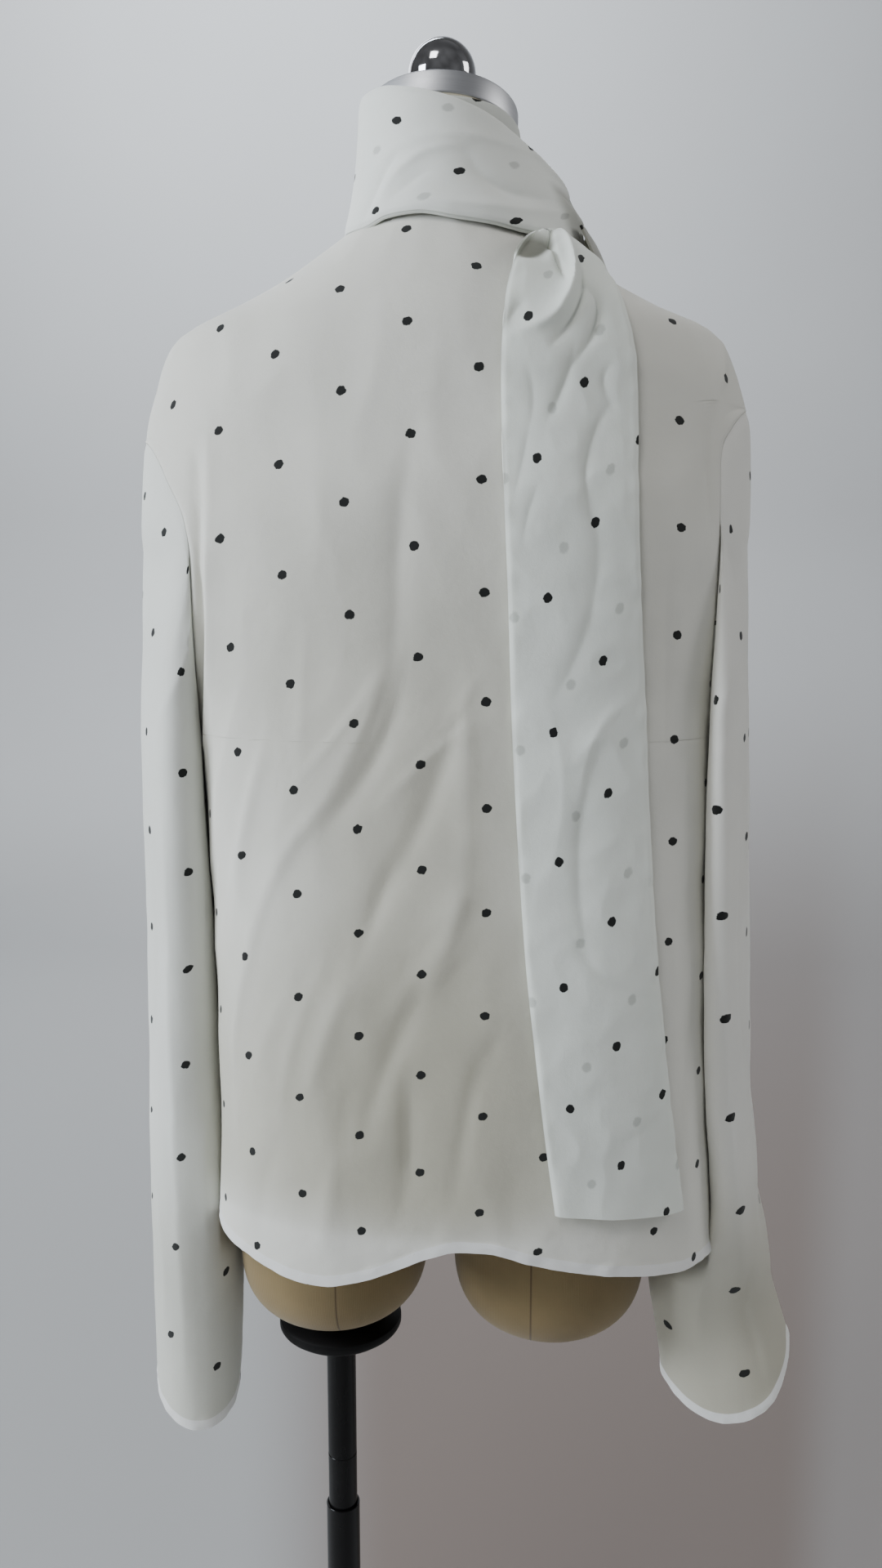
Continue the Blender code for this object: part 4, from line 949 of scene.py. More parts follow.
def clear_of_torso(ring, side, gap):
    """Move a sleeve's points outward where they would come closer to the torso than `gap`."""
    sign = 1.0 if side == "left" else -1.0
    x, y, z = ring.T
    depth = either(TORSO, "back", "front", y, z)
    limit = TORSO.read(side, z) * power_reach(y, depth, TORSO.read("power", z)) + gap
    return np.stack((sign * np.maximum(sign * x, limit), y, z), axis=1)


def sleeve_cap(start, first, side):
    """Rings from the armhole to the first hanging ring, which they meet hanging plumb."""
    rings = []
    plumb = (first - start) * (0.0, 0.0, 1.0)
    for share in np.linspace(0.0, 1.0, CAP_RINGS, endpoint=False):
        leave = share * (1.0 - share) ** 2
        arrive = share * share * (share - 1.0)
        ring = start + (smooth(share) + leave) * (first - start) + arrive * plumb
        gap = SEAM_GAP + share * (SLEEVE_CLEARANCE - SEAM_GAP)
        rings.append(clear_of_torso(ring, side, gap))
    return rings


def cuff_rise(fractions, side):
    """How far the cuff's edge rises above its lowest point round the sleeve."""
    rounding = CUFF_ROUNDING * (1.0 + np.cos(2.0 * math.tau * fractions)) / 2.0
    away = np.abs((fractions - SLIT_PLACES[side] + 0.5) % 1.0 - 0.5)
    notch = np.clip(1.0 - away / SLIT_REACH, 0.0, None) ** SLIT_POWER
    return rounding + SLIT_RISES[side] * notch


def sleeve_surface(loop, fractions, side):
    """Smooth outer face of a sleeve, from the armhole seam down to the cuff."""
    sign = 1.0 if side == "left" else -1.0
    inward = loop.mean(axis=0) - loop
    inward[:, 0] = 0.0
    inward /= np.linalg.norm(inward, axis=1, keepdims=True)
    start = loop + SEAM_GAP * inward + np.array((sign * SEAM_GAP, 0.0, 0.0))
    first = clear_of_torso(sleeve_ring(side, SLEEVE_TOP_RING, fractions), side, SLEEVE_CLEARANCE)
    rings = sleeve_cap(start, first, side)
    bottom = SLEEVES[side].keys[0]
    rise = cuff_rise(fractions, side)
    hanging = np.linspace(SLEEVE_TOP_RING, CUFF_TOP_RING, HANGING_RINGS, endpoint=False)
    cuff = crowded(CUFF_TOP_RING, bottom, CUFF_RINGS)
    for height in np.concatenate((hanging, cuff, [bottom])):
        free = sleeve_ring(side, height, fractions)
        held = clear_of_torso(free, side, SLEEVE_CLEARANCE)
        grip = smooth((height - CUFF_TOP_RING) / (SLEEVE_FREE_HEIGHT - CUFF_TOP_RING))
        ring = grip * held + (1.0 - grip) * free
        share = max(0.0, (CUFF_BLEND_HEIGHT - height) / (CUFF_BLEND_HEIGHT - bottom))
        ring[:, 2] += rise * share
        rings.append(ring)
    rings = np.array(rings)
    return rings if side == "left" else rings[:, ::-1]


def around(angle, radius, height):
    """Points round the neck: angle 0 is the middle of the back, 90 the wearer's right."""
    turn = np.radians(angle)
    return np.stack((-radius * np.sin(turn), radius * np.cos(turn), height), axis=-1)


def torso_radius(angle, height):
    """Distance of the torso's surface from the axis of the neck."""
    turn = np.radians(angle)
    return 1.0 / torso_level(-np.sin(turn), np.cos(turn), height)


def wrap_surface():
    """Outer face of the scarf round the neck, the same before its creases, and its painted shade."""
    angle = np.linspace(WRAP_START, WRAP_START + 360.0, WRAP_COLUMNS, endpoint=False)
    low, high = WRAP.read("low_height", angle), WRAP.read("high_height", angle)
    head, foot = WRAP.read("high_radius", angle), WRAP.read("low_radius", angle)
    rows = []
    smooth_rows = []
    for share, inset in reversed(HEAD_TURN):
        start = high - HEAD_DIP
        height = start + share * (np.maximum(WRAP.read("inner_height", angle), start) - start)
        rows.append(around(angle, head - inset, height))
        smooth_rows.append(rows[-1])
    wound = np.where(angle > WRAP_CREASES_PART, angle - 360.0, angle) / 100.0
    for rise in np.linspace(1.0, 0.0, WRAP_ROWS):
        crease = crease_lift(wound, np.full(len(angle), rise), WRAP_CREASES)
        roll = math.exp(-rise / FOOT_ROLL) + HEAD_ROLL_SHARE * math.exp((rise - 1.0) / HEAD_ROLL)
        edge = WRAP_TURN_IN * roll
        flare = (1.0 - rise) ** WRAP.read("sag", angle)
        radius = head + (foot - head) * flare + WRAP_BOW * math.sin(math.pi * rise)
        height = low * (1.0 - rise) + high * rise
        rows.append(around(angle, radius + crease - edge, height))
        smooth_rows.append(around(angle, radius, height))
    for share, rise in FOOT_TURN:
        inset = WRAP_TURN_IN + share * WRAP.read("skirt", angle)
        rows.append(around(angle, foot - inset, low + rise))
        smooth_rows.append(rows[-1])
    rise = np.linspace(1.0, 0.0, WRAP_ROWS)[:, None]
    lobe = smooth((angle - LOBE_START) / LOBE_START_EASE) * smooth((LOBE_END - angle) / LOBE_END_EASE)
    lobe = lobe * smooth((LOBE_TOP - rise) / LOBE_TOP_EASE)
    # Painted shade on the turned-in rows and the folded-over lobe
    shade = np.full((len(rows), WRAP_COLUMNS), TURN_SHADE)
    shade[len(HEAD_TURN):-len(FOOT_TURN)] = LOBE_SHADE * lobe
    return np.array(rows), np.array(smooth_rows), shade


def cowl_surface():
    """Outer face of the scarf across the front, from its upper edge down to its lower edge."""
    angle = np.linspace(COWL.keys[0], COWL.keys[-1], COWL_COLUMNS)
    rows = []
    for fall in np.linspace(0.0, 1.0, COWL_ROWS):
        height = COWL.read("high_height", angle) * (1.0 - fall)
        height = height + COWL.read("low_height", angle) * fall
        rows.append(around(angle, torso_radius(angle, height), height))
    base = np.array(rows)
    fall = np.linspace(0.0, 1.0, COWL_ROWS)[:, None]
    lift = COWL.read("high_lift", angle)[None, :] * (1.0 - fall)
    lift = lift + COWL.read("low_lift", angle)[None, :] * fall
    end = smooth((angle - COWL.keys[0]) / COWL_STRAIGHT)[None, :]
    lift = lift + end * COWL_BOW * np.sin(math.pi * fall)
    wound = np.broadcast_to(angle[None, :] / 100.0, base.shape[:2])
    drop = np.broadcast_to(fall, base.shape[:2])
    lift = lift + end * crease_lift(wound, drop, COWL_CREASES) * np.sin(math.pi * drop) ** COWL_EDGE_CALM
    return base + lift[:, :, None] * grid_normals(base)


def tail_surface():
    """Outer face of the scarf end down the back, the same before its creases, and its painted shade in the
    pocket and the troughs.
    """
    across = np.linspace(0.0, 1.0, TAIL_COLUMNS)
    top, bottom = TAIL.keys[-1], TAIL.keys[0]
    fall = np.linspace(0.0, 1.0, TAIL_ROWS)
    heights = top - (top - bottom) * (0.5 * fall + 0.5 * fall ** 2)
    left = TAIL.read("left", heights)[:, None]
    right = TAIL.read("right", heights)[:, None]
    x = left * (1.0 - across) + right * across
    tilt = fall[:, None] ** TAIL_END_POWER * (TAIL_END_RISE * (1.0 - across) - TAIL_END_DROP * across)
    z = heights[:, None] + tilt
    base = np.stack((x, torso_depth(x, np.minimum(z, TAIL_PLUMB_HEIGHT), 1), z), axis=2)
    lift = TAIL.read("lift", heights)[:, None] + TAIL_CROWN * np.sin(math.pi * across)
    lift = lift + np.clip(crease_lift(x, z, BACK_CREASES), 0.0, None)
    laid = base + lift[:, :, None] * grid_normals(base)
    places = laid[:, :, 0], laid[:, :, 2]
    pocket = crease_lift(*places, (TAIL_POCKET,)) - TAIL_POCKET_FROM
    pocket = smooth(pocket / TAIL_POCKET_EASE)
    lift = crease_lift(*places, TAIL_CREASES)
    # Painted shade: darker in the pocket and along the troughs
    hollow = TAIL_POCKET_SHADE * pocket - TAIL_FOLD_SHADE * np.minimum(lift, 0.0)
    hollow = np.clip(hollow, 0.0, 1.0)
    crisp = smooth((laid[:, :, 2] - TAIL_CRISP_HEIGHT) / TAIL_CRISP_EASE)
    lift = lift * (TAIL_SOFTNESS + (1.0 - TAIL_SOFTNESS) * crisp) - TAIL_POCKET_DEPTH * pocket
    lift = lift * smooth((TAIL_TOP_CALM - heights)[:, None] / TAIL_TOP_EASE)
    lift = lift + waves(laid, TAIL_WAVES) + dents(laid, TAIL_DENTS)
    lift = lift * np.sin(math.pi * across) ** TAIL_EDGE_CALM
    side = np.minimum(across, 1.0 - across) * (left - right)
    lift = lift + waves(laid, TAIL_EDGE_WAVES) * np.exp(-(side / TAIL_PUCKER_WIDTH) ** 2)
    lift = lift - TAIL_EDGE_ROLL * np.exp(-(side / TAIL_EDGE_WIDTH) ** 2)
    return laid + lift[:, :, None] * grid_normals(laid), laid, hollow


def off_grain(cloth, piece):
    """The cloth's places moved as the print runs on one piece."""
    u, v = cloth[:, :, 0], cloth[:, :, 1]
    terms = (np.ones_like(u), u, v, u * u, u * v, v * v)
    moved = [sum(share * term for share, term in zip(shares, terms)) for shares in GRAIN[piece]]
    return cloth + np.stack(moved, axis=2)


def strip_cloth(points):
    """Each point's place on a flat strip: across its width, and along its length."""
    return np.stack((run_lengths(points, 1), -run_lengths(points, 0)), axis=2)


def plain_notes(points):
    """Notes for a piece with no hem, no form showing through and no painted shade."""
    blank = np.zeros(points.shape[:2])
    return {"hem_distance": blank + 1.0, "show_through": blank, "hollow": blank}


def show_through(points):
    """How much of the tan form shows through one layer of the cloth: most where they touch. The share is
    cut towards the shoulders, which darkens the cloth towards the bottom.
    """
    x, y, z = points[:, :, 0], points[:, :, 1], points[:, :, 2]
    depth = either(FORM, "back", "front", y, z)
    share = np.maximum(power_level(x, y, FORM.read("half", z), depth, FORM_POWER), 1.0)
    gap = np.hypot(x, y) * (1.0 - 1.0 / share)
    near = 1.0 - smooth((gap - SHOW_NEAR) / (SHOW_FAR - SHOW_NEAR))
    hips = smooth((SHOW_TOP - z) / (SHOW_TOP - SHOW_HIPS))
    return near * (SHOW_SHOULDERS + (1.0 - SHOW_SHOULDERS) * hips)


def panel_notes(worn, edge):
    """Notes for a panel: its distance from the hem, and how much of the form shows through."""
    notes = plain_notes(worn)
    notes["hem_distance"] = edge
    notes["show_through"] = show_through(worn)
    return notes


def wire(tree, node, inputs):
    """Set a node's inputs, each to a value or to another node's output."""
    for key, value in inputs.items():
        if isinstance(value, bpy.types.NodeSocket):
            tree.links.new(value, node.inputs[key])
        else:
            node.inputs[key].default_value = value


def add(tree, kind, settings=None, inputs=None):
    """Add one node with its settings, and its inputs as values or as other nodes' outputs."""
    node = tree.nodes.new("ShaderNode" + kind)
    for name, value in (settings or {}).items():
        setattr(node, name, value)
    wire(tree, node, inputs or {})
    return node


def work_out(tree, operation, *values):
    """One step of arithmetic on numbers or other nodes' outputs."""
    return add(tree, "Math", {"operation": operation}, dict(enumerate(values))).outputs[0]


def ranged(tree, value, low, high, start, end, eased=False):
    """A value's way from `low` to `high`, turned into a way from `start` to `end`."""
    kind = "SMOOTHSTEP" if eased else "LINEAR"
    limits = {"Value": value, 1: low, 2: high, 3: start, 4: end}
    return add(tree, "MapRange", {"interpolation_type": kind}, limits).outputs[0]


def mix(tree, share, first, second, blend="MIX"):
    """Two colours mixed, each a hex code, a colour or another node's output."""
    inputs = {"Fac": share}
    for key, colour in ((1, first), (2, second)):
        if isinstance(colour, str):
            colour = linear(colour)
        inputs[key] = colour if isinstance(colour, bpy.types.NodeSocket) else (*colour, 1.0)
    return add(tree, "MixRGB", {"blend_type": blend}, inputs).outputs[0]


def scaled(tree, colour, share):
    """A colour made darker or lighter by a share."""
    return add(tree, "VectorMath", {"operation": "SCALE"}, {0: colour, "Scale": share}).outputs[0]


def cloud(tree, place, scale, detail):
    """Soft uneven noise; `scale` is how many of its lumps lie in a metre."""
    return add(tree, "TexNoise", None, {"Vector": place, "Scale": scale, "Detail": detail}).outputs["Fac"]


def carried(tree, name):
    """A value that the mesh carries at each of its points."""
    return add(tree, "Attribute", {"attribute_name": name}).outputs["Fac"]


def bump(tree, strength, distance, height, under=None, invert=False):
    """Fine relief of a face, over the relief `under` it where there is one."""
    inputs = {"Strength": strength, "Distance": distance, "Height": height}
    if under is not None:
        inputs["Normal"] = under
    return add(tree, "Bump", {"invert": invert}, inputs).outputs[0]


def new_material(name):
    """An empty node material, its tree, its shader and the place of a point on the object."""
    material = bpy.data.materials.new(name)
    material.use_nodes = True
    tree = material.node_tree
    return material, tree, tree.nodes["Principled BSDF"], add(tree, "TexCoord").outputs["Object"]


def dot_pattern(tree, cloth, drop, size, blur, shift=(0.0, 0.0)):
    """A mask of small uneven ovals in slanting columns over the flat cloth."""
    sizes = bpy.context.scene.blouse_cloth
    half_column = sizes.column_spacing / 2.0
    half_dot = sizes.dot_spacing / 2.0
    slope = drop * sizes.dot_spacing / sizes.column_spacing
    moved = add(tree, "VectorMath", {"operation": "ADD"}, {0: cloth, 1: (*shift, 0.0)})
    part = add(tree, "SeparateXYZ", None, {0: moved.outputs[0]})
    across = work_out(tree, "WRAP", part.outputs[0], half_column, -half_column)
    column = work_out(tree, "SUBTRACT", part.outputs[0], across)
    raised = work_out(tree, "MULTIPLY_ADD", column, slope, part.outputs[1])
    up = work_out(tree, "WRAP", raised, half_dot, -half_dot)
    spot = add(tree, "CombineXYZ", None, {0: across, 1: up})
    rough = add(tree, "TexNoise", None, {"Vector": cloth, "Scale": 420.0, "Detail": 1.0})
    uneven = add(
        tree, "VectorMath", {"operation": "MULTIPLY_ADD"},
        {0: rough.outputs["Color"], 1: (DOT_WANDER, DOT_WANDER, 0.0), 2: spot.outputs[0]},
    )
    oval = add(
        tree, "Mapping", {"vector_type": "TEXTURE"},
        {
            "Vector": uneven.outputs[0],
            "Location": (DOT_WANDER / 2.0, DOT_WANDER / 2.0, 0.0),
            "Rotation": (0.0, 0.0, DOT_LEAN),
            "Scale": (size * sizes.dot_width / 2.0, size * sizes.dot_height / 2.0, 1.0),
        },
    )
    reach = add(tree, "VectorMath", {"operation": "LENGTH"}, {0: oval.outputs[0]})
    return ranged(tree, reach.outputs["Value"], 1.0 + blur, 1.0 - blur, 0.0, 1.0, eased=True)


def crepe(name, tint_and_light, drop, ghosts=False):
    """Printed polyester crepe: matte, slightly uneven off-white with flat black dots.

    The twisted yarn leaves a fine pebbled face and no sheen line, so it is rough all over. The
    real yarn spacing of 0.35 mm is too fine to show and is drawn at 0.9 mm.
    """
    material, tree, shader, place = new_material(name)
    colours = bpy.context.scene.blouse_colours
    sizes = bpy.context.scene.blouse_cloth
    cloth = add(tree, "UVMap").outputs["UV"]
    hem = carried(tree, "hem_distance")
    uneven = ranged(tree, cloud(tree, place, 14.0, 3.0), 0.3, 0.7, 0.955, 1.03)
    colour = scaled(tree, mix(tree, 1.0, colours.ivory, tint_and_light, "MULTIPLY"), uneven)
    # The form's tan where it lies close behind, and painted shade towards the sleeves' cuffs
    colour = mix(tree, carried(tree, "show_through"), colour, colours.show_through, "MULTIPLY")
    # Painted shade in deep folds, the scarf's turned edges and lobe, the cowl's start and the tail's pocket
    colour = mix(tree, carried(tree, "hollow"), colour, colours.hollow, "MULTIPLY")
    inner, outer = sizes.hem_width - HEM_BLUR, sizes.hem_width + HEM_BLUR
    colour = mix(tree, ranged(tree, hem, inner, outer, 1.0, 0.0, eased=True), colour, colours.hem)
    if ghosts:
        ghost = dot_pattern(tree, cloth, drop, GHOST_SIZE, GHOST_BLUR, GHOST_PLACE)
        colour = mix(tree, work_out(tree, "MULTIPLY", ghost, GHOST_SHARE), colour, colours.dot)
    colour = mix(tree, dot_pattern(tree, cloth, drop, 1.0, DOT_BLUR), colour, colours.dot)
    row = work_out(tree, "COMPARE", hem, sizes.hem_width - STITCH_INSET, STITCH_THREAD)
    along = add(tree, "SeparateXYZ", None, {0: cloth}).outputs[0]
    dash = work_out(tree, "PINGPONG", along, sizes.stitch_length / 2.0)
    thread = work_out(tree, "GREATER_THAN", dash, sizes.stitch_length / 8.0)
    relief = bump(tree, 0.30, 0.00025, cloud(tree, cloth, 1100.0, 2.0))
    relief = bump(tree, 0.28, 0.0012, cloud(tree, cloth, 75.0, 3.0), relief)
    relief = bump(tree, 0.6, 0.0004, work_out(tree, "MULTIPLY", row, thread), relief)
    face = {
        "Base Color": colour, "Normal": relief, "Roughness": 0.82, "Specular IOR Level": 0.25,
        "Sheen Weight": 0.18, "Sheen Roughness": 0.55, "Subsurface Weight": 0.22,
        "Subsurface Radius": (0.006, 0.006, 0.005), "Subsurface Scale": 1.0,
    }
    wire(tree, shader, face)
    return material


def form_cover():
    """Cotton jersey stretched over padding: matte tan with a fine even rib and darker seams.

    The knit's 0.5 mm wales are drawn at 1.2 mm so that they show. A paler cotton band lines the
    neck.
    """
    material, tree, shader, place = new_material("cotton_jersey_tan")
    colours = bpy.context.scene.blouse_colours
    part = add(tree, "SeparateXYZ", None, {0: place})
    beside = work_out(tree, "ABSOLUTE", part.outputs[0])
    seam = work_out(tree, "COMPARE", beside, COVER_SEAM_X, 0.0006)
    uneven = ranged(tree, cloud(tree, place, 22.0, 4.0), 0.3, 0.7, 0.88, 1.08)
    colour = mix(tree, seam, scaled(tree, colours.form_cover, uneven), "#5B4A2E")
    lining = ranged(tree, part.outputs[2], NECK_LINING - NECK_LINING_EDGE, NECK_LINING, 0.0, 1.0)
    colour = mix(tree, lining, colour, colours.neck_lining)
    knit = add(
        tree, "TexWave", {"wave_type": "BANDS", "bands_direction": "X"},
        {"Vector": place, "Scale": 260.0, "Distortion": 1.5, "Detail": 2.0, "Detail Scale": 3.0},
    )
    relief = bump(tree, 0.25, 0.0003, knit.outputs["Fac"])
    relief = bump(tree, 0.8, 0.0008, seam, relief, invert=True)
    face = {"Base Color": colour, "Normal": relief, "Roughness": 0.85, "Sheen Weight": 0.15}
    wire(tree, shader, face)
    return material


def brushed_steel():
    """Stainless steel turned and brushed round its rim, which stretches highlights upright."""
    material, tree, shader, place = new_material("brushed_stainless_steel")
    fine = add(
        tree, "Mapping", None,
        {"Vector": place, "Rotation": (-NECK_TILT, 0.0, 0.0), "Scale": (14.0, 14.0, 2600.0)},
    )
    brush = cloud(tree, fine.outputs[0], 1.0, 3.0)
    face = {
        "Base Color": mix(tree, brush, "#AEAFB2", "#C6C7CA"),
        "Roughness": ranged(tree, brush, 0.2, 0.8, 0.42, 0.52),
        "Normal": bump(tree, 0.08, 0.0001, brush),
        "Metallic": 1.0,
    }
    wire(tree, shader, face)
    return material


def polished_chrome():
    """Chrome plating: a dark mirror with a few soft smudges."""
    material, tree, shader, place = new_material("polished_chrome_plate")
    smudge = ranged(tree, cloud(tree, place, 90.0, 3.0), 0.4, 0.8, 0.05, 0.16)
    face = {"Base Color": (*linear("#A9A9AB"), 1.0), "Roughness": smudge, "Metallic": 1.0}
    wire(tree, shader, face)
    return material


def black_enamel(name, roughness):
    """Stoved enamel on steel: near black with a faint orange-peel face.

    Its shine is kept low, because there is nothing dark in the plain room for it to mirror.
    """
    material, tree, shader, place = new_material(name)
    face = {
        "Base Color": mix(tree, cloud(tree, place, 34.0, 4.0), "#060606", "#141313"),
        "Normal": bump(tree, 0.10, 0.0002, cloud(tree, place, 520.0, 1.0)),
        "Roughness": roughness,
        "Specular IOR Level": 0.12,
    }
    wire(tree, shader, face)
    return material


def floor_paint():
    """Dull wall paint in pale grey, with a painted shadow: a darker brownish wedge on the floor past the
    stand.
    """
    material, tree, shader, place = new_material("matte_floor_paint")
    part = add(tree, "SeparateXYZ", None, {0: place}).outputs
    away = work_out(tree, "SUBTRACT", CAMERA_PLACE[1], part[1])
    beside = work_out(tree, "SUBTRACT", part[0], CAMERA_PLACE[0])
    spread = work_out(tree, "DIVIDE", beside, away)
    left = ranged(tree, spread, *PAINTED_SHADOW_LEFT, 0.0, 1.0, eased=True)
    right = ranged(tree, spread, *PAINTED_SHADOW_RIGHT, 0.0, PAINTED_SHADOW_RIGHT_SHARE, eased=True)
    # Painted shadow of the form and its stand on the floor
    painted_shadow = mix(tree, work_out(tree, "ADD", left, right), "#746A64", "#9C9C9B")
    distance = work_out(tree, "ABSOLUTE", work_out(tree, "ADD", part[1], PAINTED_SHADOW_FADE_FROM))
    climb = work_out(tree, "MULTIPLY_ADD", distance, PAINTED_SHADOW_FADE_SLOPE, part[2])
    reach = ranged(tree, left, 0.0, 1.0, *PAINTED_SHADOW_FADE_REACH)
    rise = ranged(tree, climb, 0.0, reach, 0.0, 1.0, eased=True)
    before = ranged(tree, part[1], *PAINTED_SHADOW_FRONT, 0.0, 1.0, eased=True)
    plain = mix(tree, cloud(tree, place, 1.5, 3.0), "#CAC9C8", "#D0D0CF")
    colour = mix(tree, work_out(tree, "MAXIMUM", rise, before), painted_shadow, plain)
    wire(tree, shader, {"Base Color": colour, "Roughness": 0.9})
    return material


def turned(name, profile, place, tilt=0.0, segments=TURNED_SEGMENTS):
    """A turned piece: a ring drawn out along a profile of radii and heights, and closed."""
    bpy.ops.object.select_all(action="DESELECT")
    radius, height = profile[0]
    bpy.ops.mesh.primitive_circle_add(
        vertices=segments, radius=radius, fill_type="NGON", location=(0.0, 0.0, height),
    )
    piece = named(name)
    bpy.ops.object.mode_set(mode="EDIT")
    bpy.ops.mesh.select_all(action="SELECT")
    for next_radius, next_height in profile[1:]:
        bpy.ops.mesh.extrude_region_move(
            TRANSFORM_OT_translate={"value": (0.0, 0.0, next_height - height)},
        )
        scale = next_radius / radius
        bpy.ops.transform.resize(value=(scale, scale, 1.0), center_override=(0.0, 0.0, next_height))
        radius, height = next_radius, next_height
    bpy.ops.mesh.select_all(action="SELECT")
    bpy.ops.mesh.normals_make_consistent(inside=False)
    bpy.ops.object.mode_set(mode="OBJECT")
    bpy.ops.object.transform_apply(location=True, rotation=False, scale=False)
    piece.rotation_euler = (tilt, 0.0, 0.0)
    piece.location = place
    bpy.ops.object.transform_apply(location=True, rotation=True, scale=False)
    bpy.ops.object.shade_smooth_by_angle(angle=TURNED_SMOOTH_ANGLE)
    return piece


def finish(piece, body, node, material):
    """Give a piece its material and its body, and hide the solid it stands for."""
    piece.data.materials.clear()
    piece.data.materials.append(material)
    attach(piece, body)
    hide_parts(node)


def finish_cloth(piece, node, doubled=False):
    """Print a piece of cloth and finish it; the scarf is doubled and cut the other way."""
    sizes = bpy.context.scene.blouse_cloth
    drop = sizes.scarf_drop if doubled else sizes.column_drop
    material = crepe("crepe_" + node, TINTS_AND_LIGHT[node], drop, ghosts=doubled)
    finish(piece, "form", node, material)


def round_over(radius, top, bottom, edge, steps=4):
    """Profile points of a plain disc's rim with rounded edges, from top to bottom."""
    turns = [math.pi / 2.0 * i / steps for i in range(steps + 1)]
    inner = radius - edge
    upper = [(inner + edge * math.sin(a), top - edge + edge * math.cos(a)) for a in turns]
    lower = [(inner + edge * math.cos(a), bottom + edge - edge * math.sin(a)) for a in turns]
    return upper + lower


def length_field(name, description, default):
    """A length that a user can change."""
    return FloatProperty(name=name, description=description, default=default, unit="LENGTH")


def share_field(name, description, default):
    """A share of 1 that a user can change."""
    return FloatProperty(name=name, description=description, default=default, subtype="FACTOR")


def power_field(name, description, default):
    """A light's power that a user can change."""
    return FloatProperty(name=name, description=description, default=default, unit="POWER")


def colour_field(name, description, code):
    """A colour that a user can change, from its hex code."""
    return FloatVectorProperty(
        name=name, description=description, default=linear(code), size=3, subtype="COLOR",
        min=0.0, max=1.0,
    )


class BlouseCloth(bpy.types.PropertyGroup):
    """Sizes of the cloth and its print."""

    single_wall: length_field("Crepe", "Thickness of one layer as drawn", 0.0009)
    double_wall: length_field("Scarf", "Thickness of the doubled scarf", 0.0016)
    hem_width: length_field("Hem", "Width of the narrow rolled hem", 0.0075)
    stitch_length: length_field("Stitch", "Length of one stitch", 0.0028)
    column_spacing: length_field("Column spacing", "Distance between columns of dots", 0.0405)
    dot_spacing: length_field("Dot spacing", "Distance between dots in a column", 0.066)
    column_drop: share_field("Column drop", "How far the next column is shifted", 0.4)
    scarf_drop: share_field("Scarf drop", "The same shift on the scarf, which is cut the other way", 0.5)
    dot_width: length_field("Dot width", "Longer size of a dot", 0.0064)
    dot_height: length_field("Dot height", "Shorter size of a dot", 0.0055)


class BlouseColours(bpy.types.PropertyGroup):
    """Colours of the cloth, its print and the form's cover."""

    ivory: colour_field("Ivory", "Ground colour of the crepe", "#E9E9E3")
    hem: colour_field("Hem", "Colour of the hem, where the cloth is three layers thick", "#E6E6E2")
    dot: colour_field("Dot", "Colour of the printed dots", "#0B0D0B")
    # Also painted shade on the sleeves towards their cuffs
    show_through: colour_field("Show through", "Tint that the form gives to cloth near it", "#CBC8BE")
    # Painted shade: the tint for cloth deep in folds and recesses
    hollow: colour_field("Hollow", "Tint of cloth deep inside a fold", "#6E6A60")
    form_cover: colour_field("Form cover", "Colour of the form's jersey", "#7E6C48")
    neck_lining: colour_field("Neck lining", "Colour of the band round the form's neck", "#BDB7A2")


class BlouseStage(bpy.types.PropertyGroup):
    """Light and floor."""

    key_power: power_field("Key", "Power of the light from the wearer's left", 98.0)
    top_power: power_field("Top", "Power of the light from above", 27.0)
    fill_power: power_field("Fill", "Power of the light from the wearer's right", 17.0)
    front_power: power_field("Front", "Power of the light before the form", 30.0)
    wall_power: power_field("Wall light", "Power of the light on the wall", 190.0)
    surroundings: colour_field("Surroundings", "Colour of the air all round", "#87888A")
    floor_size: length_field("Floor", "Side of the floor", 30.0)
    wall_distance: length_field("Wall", "Where the floor starts to curve up", 3.2)
    wall_curve: length_field("Curve", "Radius of the curve into the wall", 1.6)


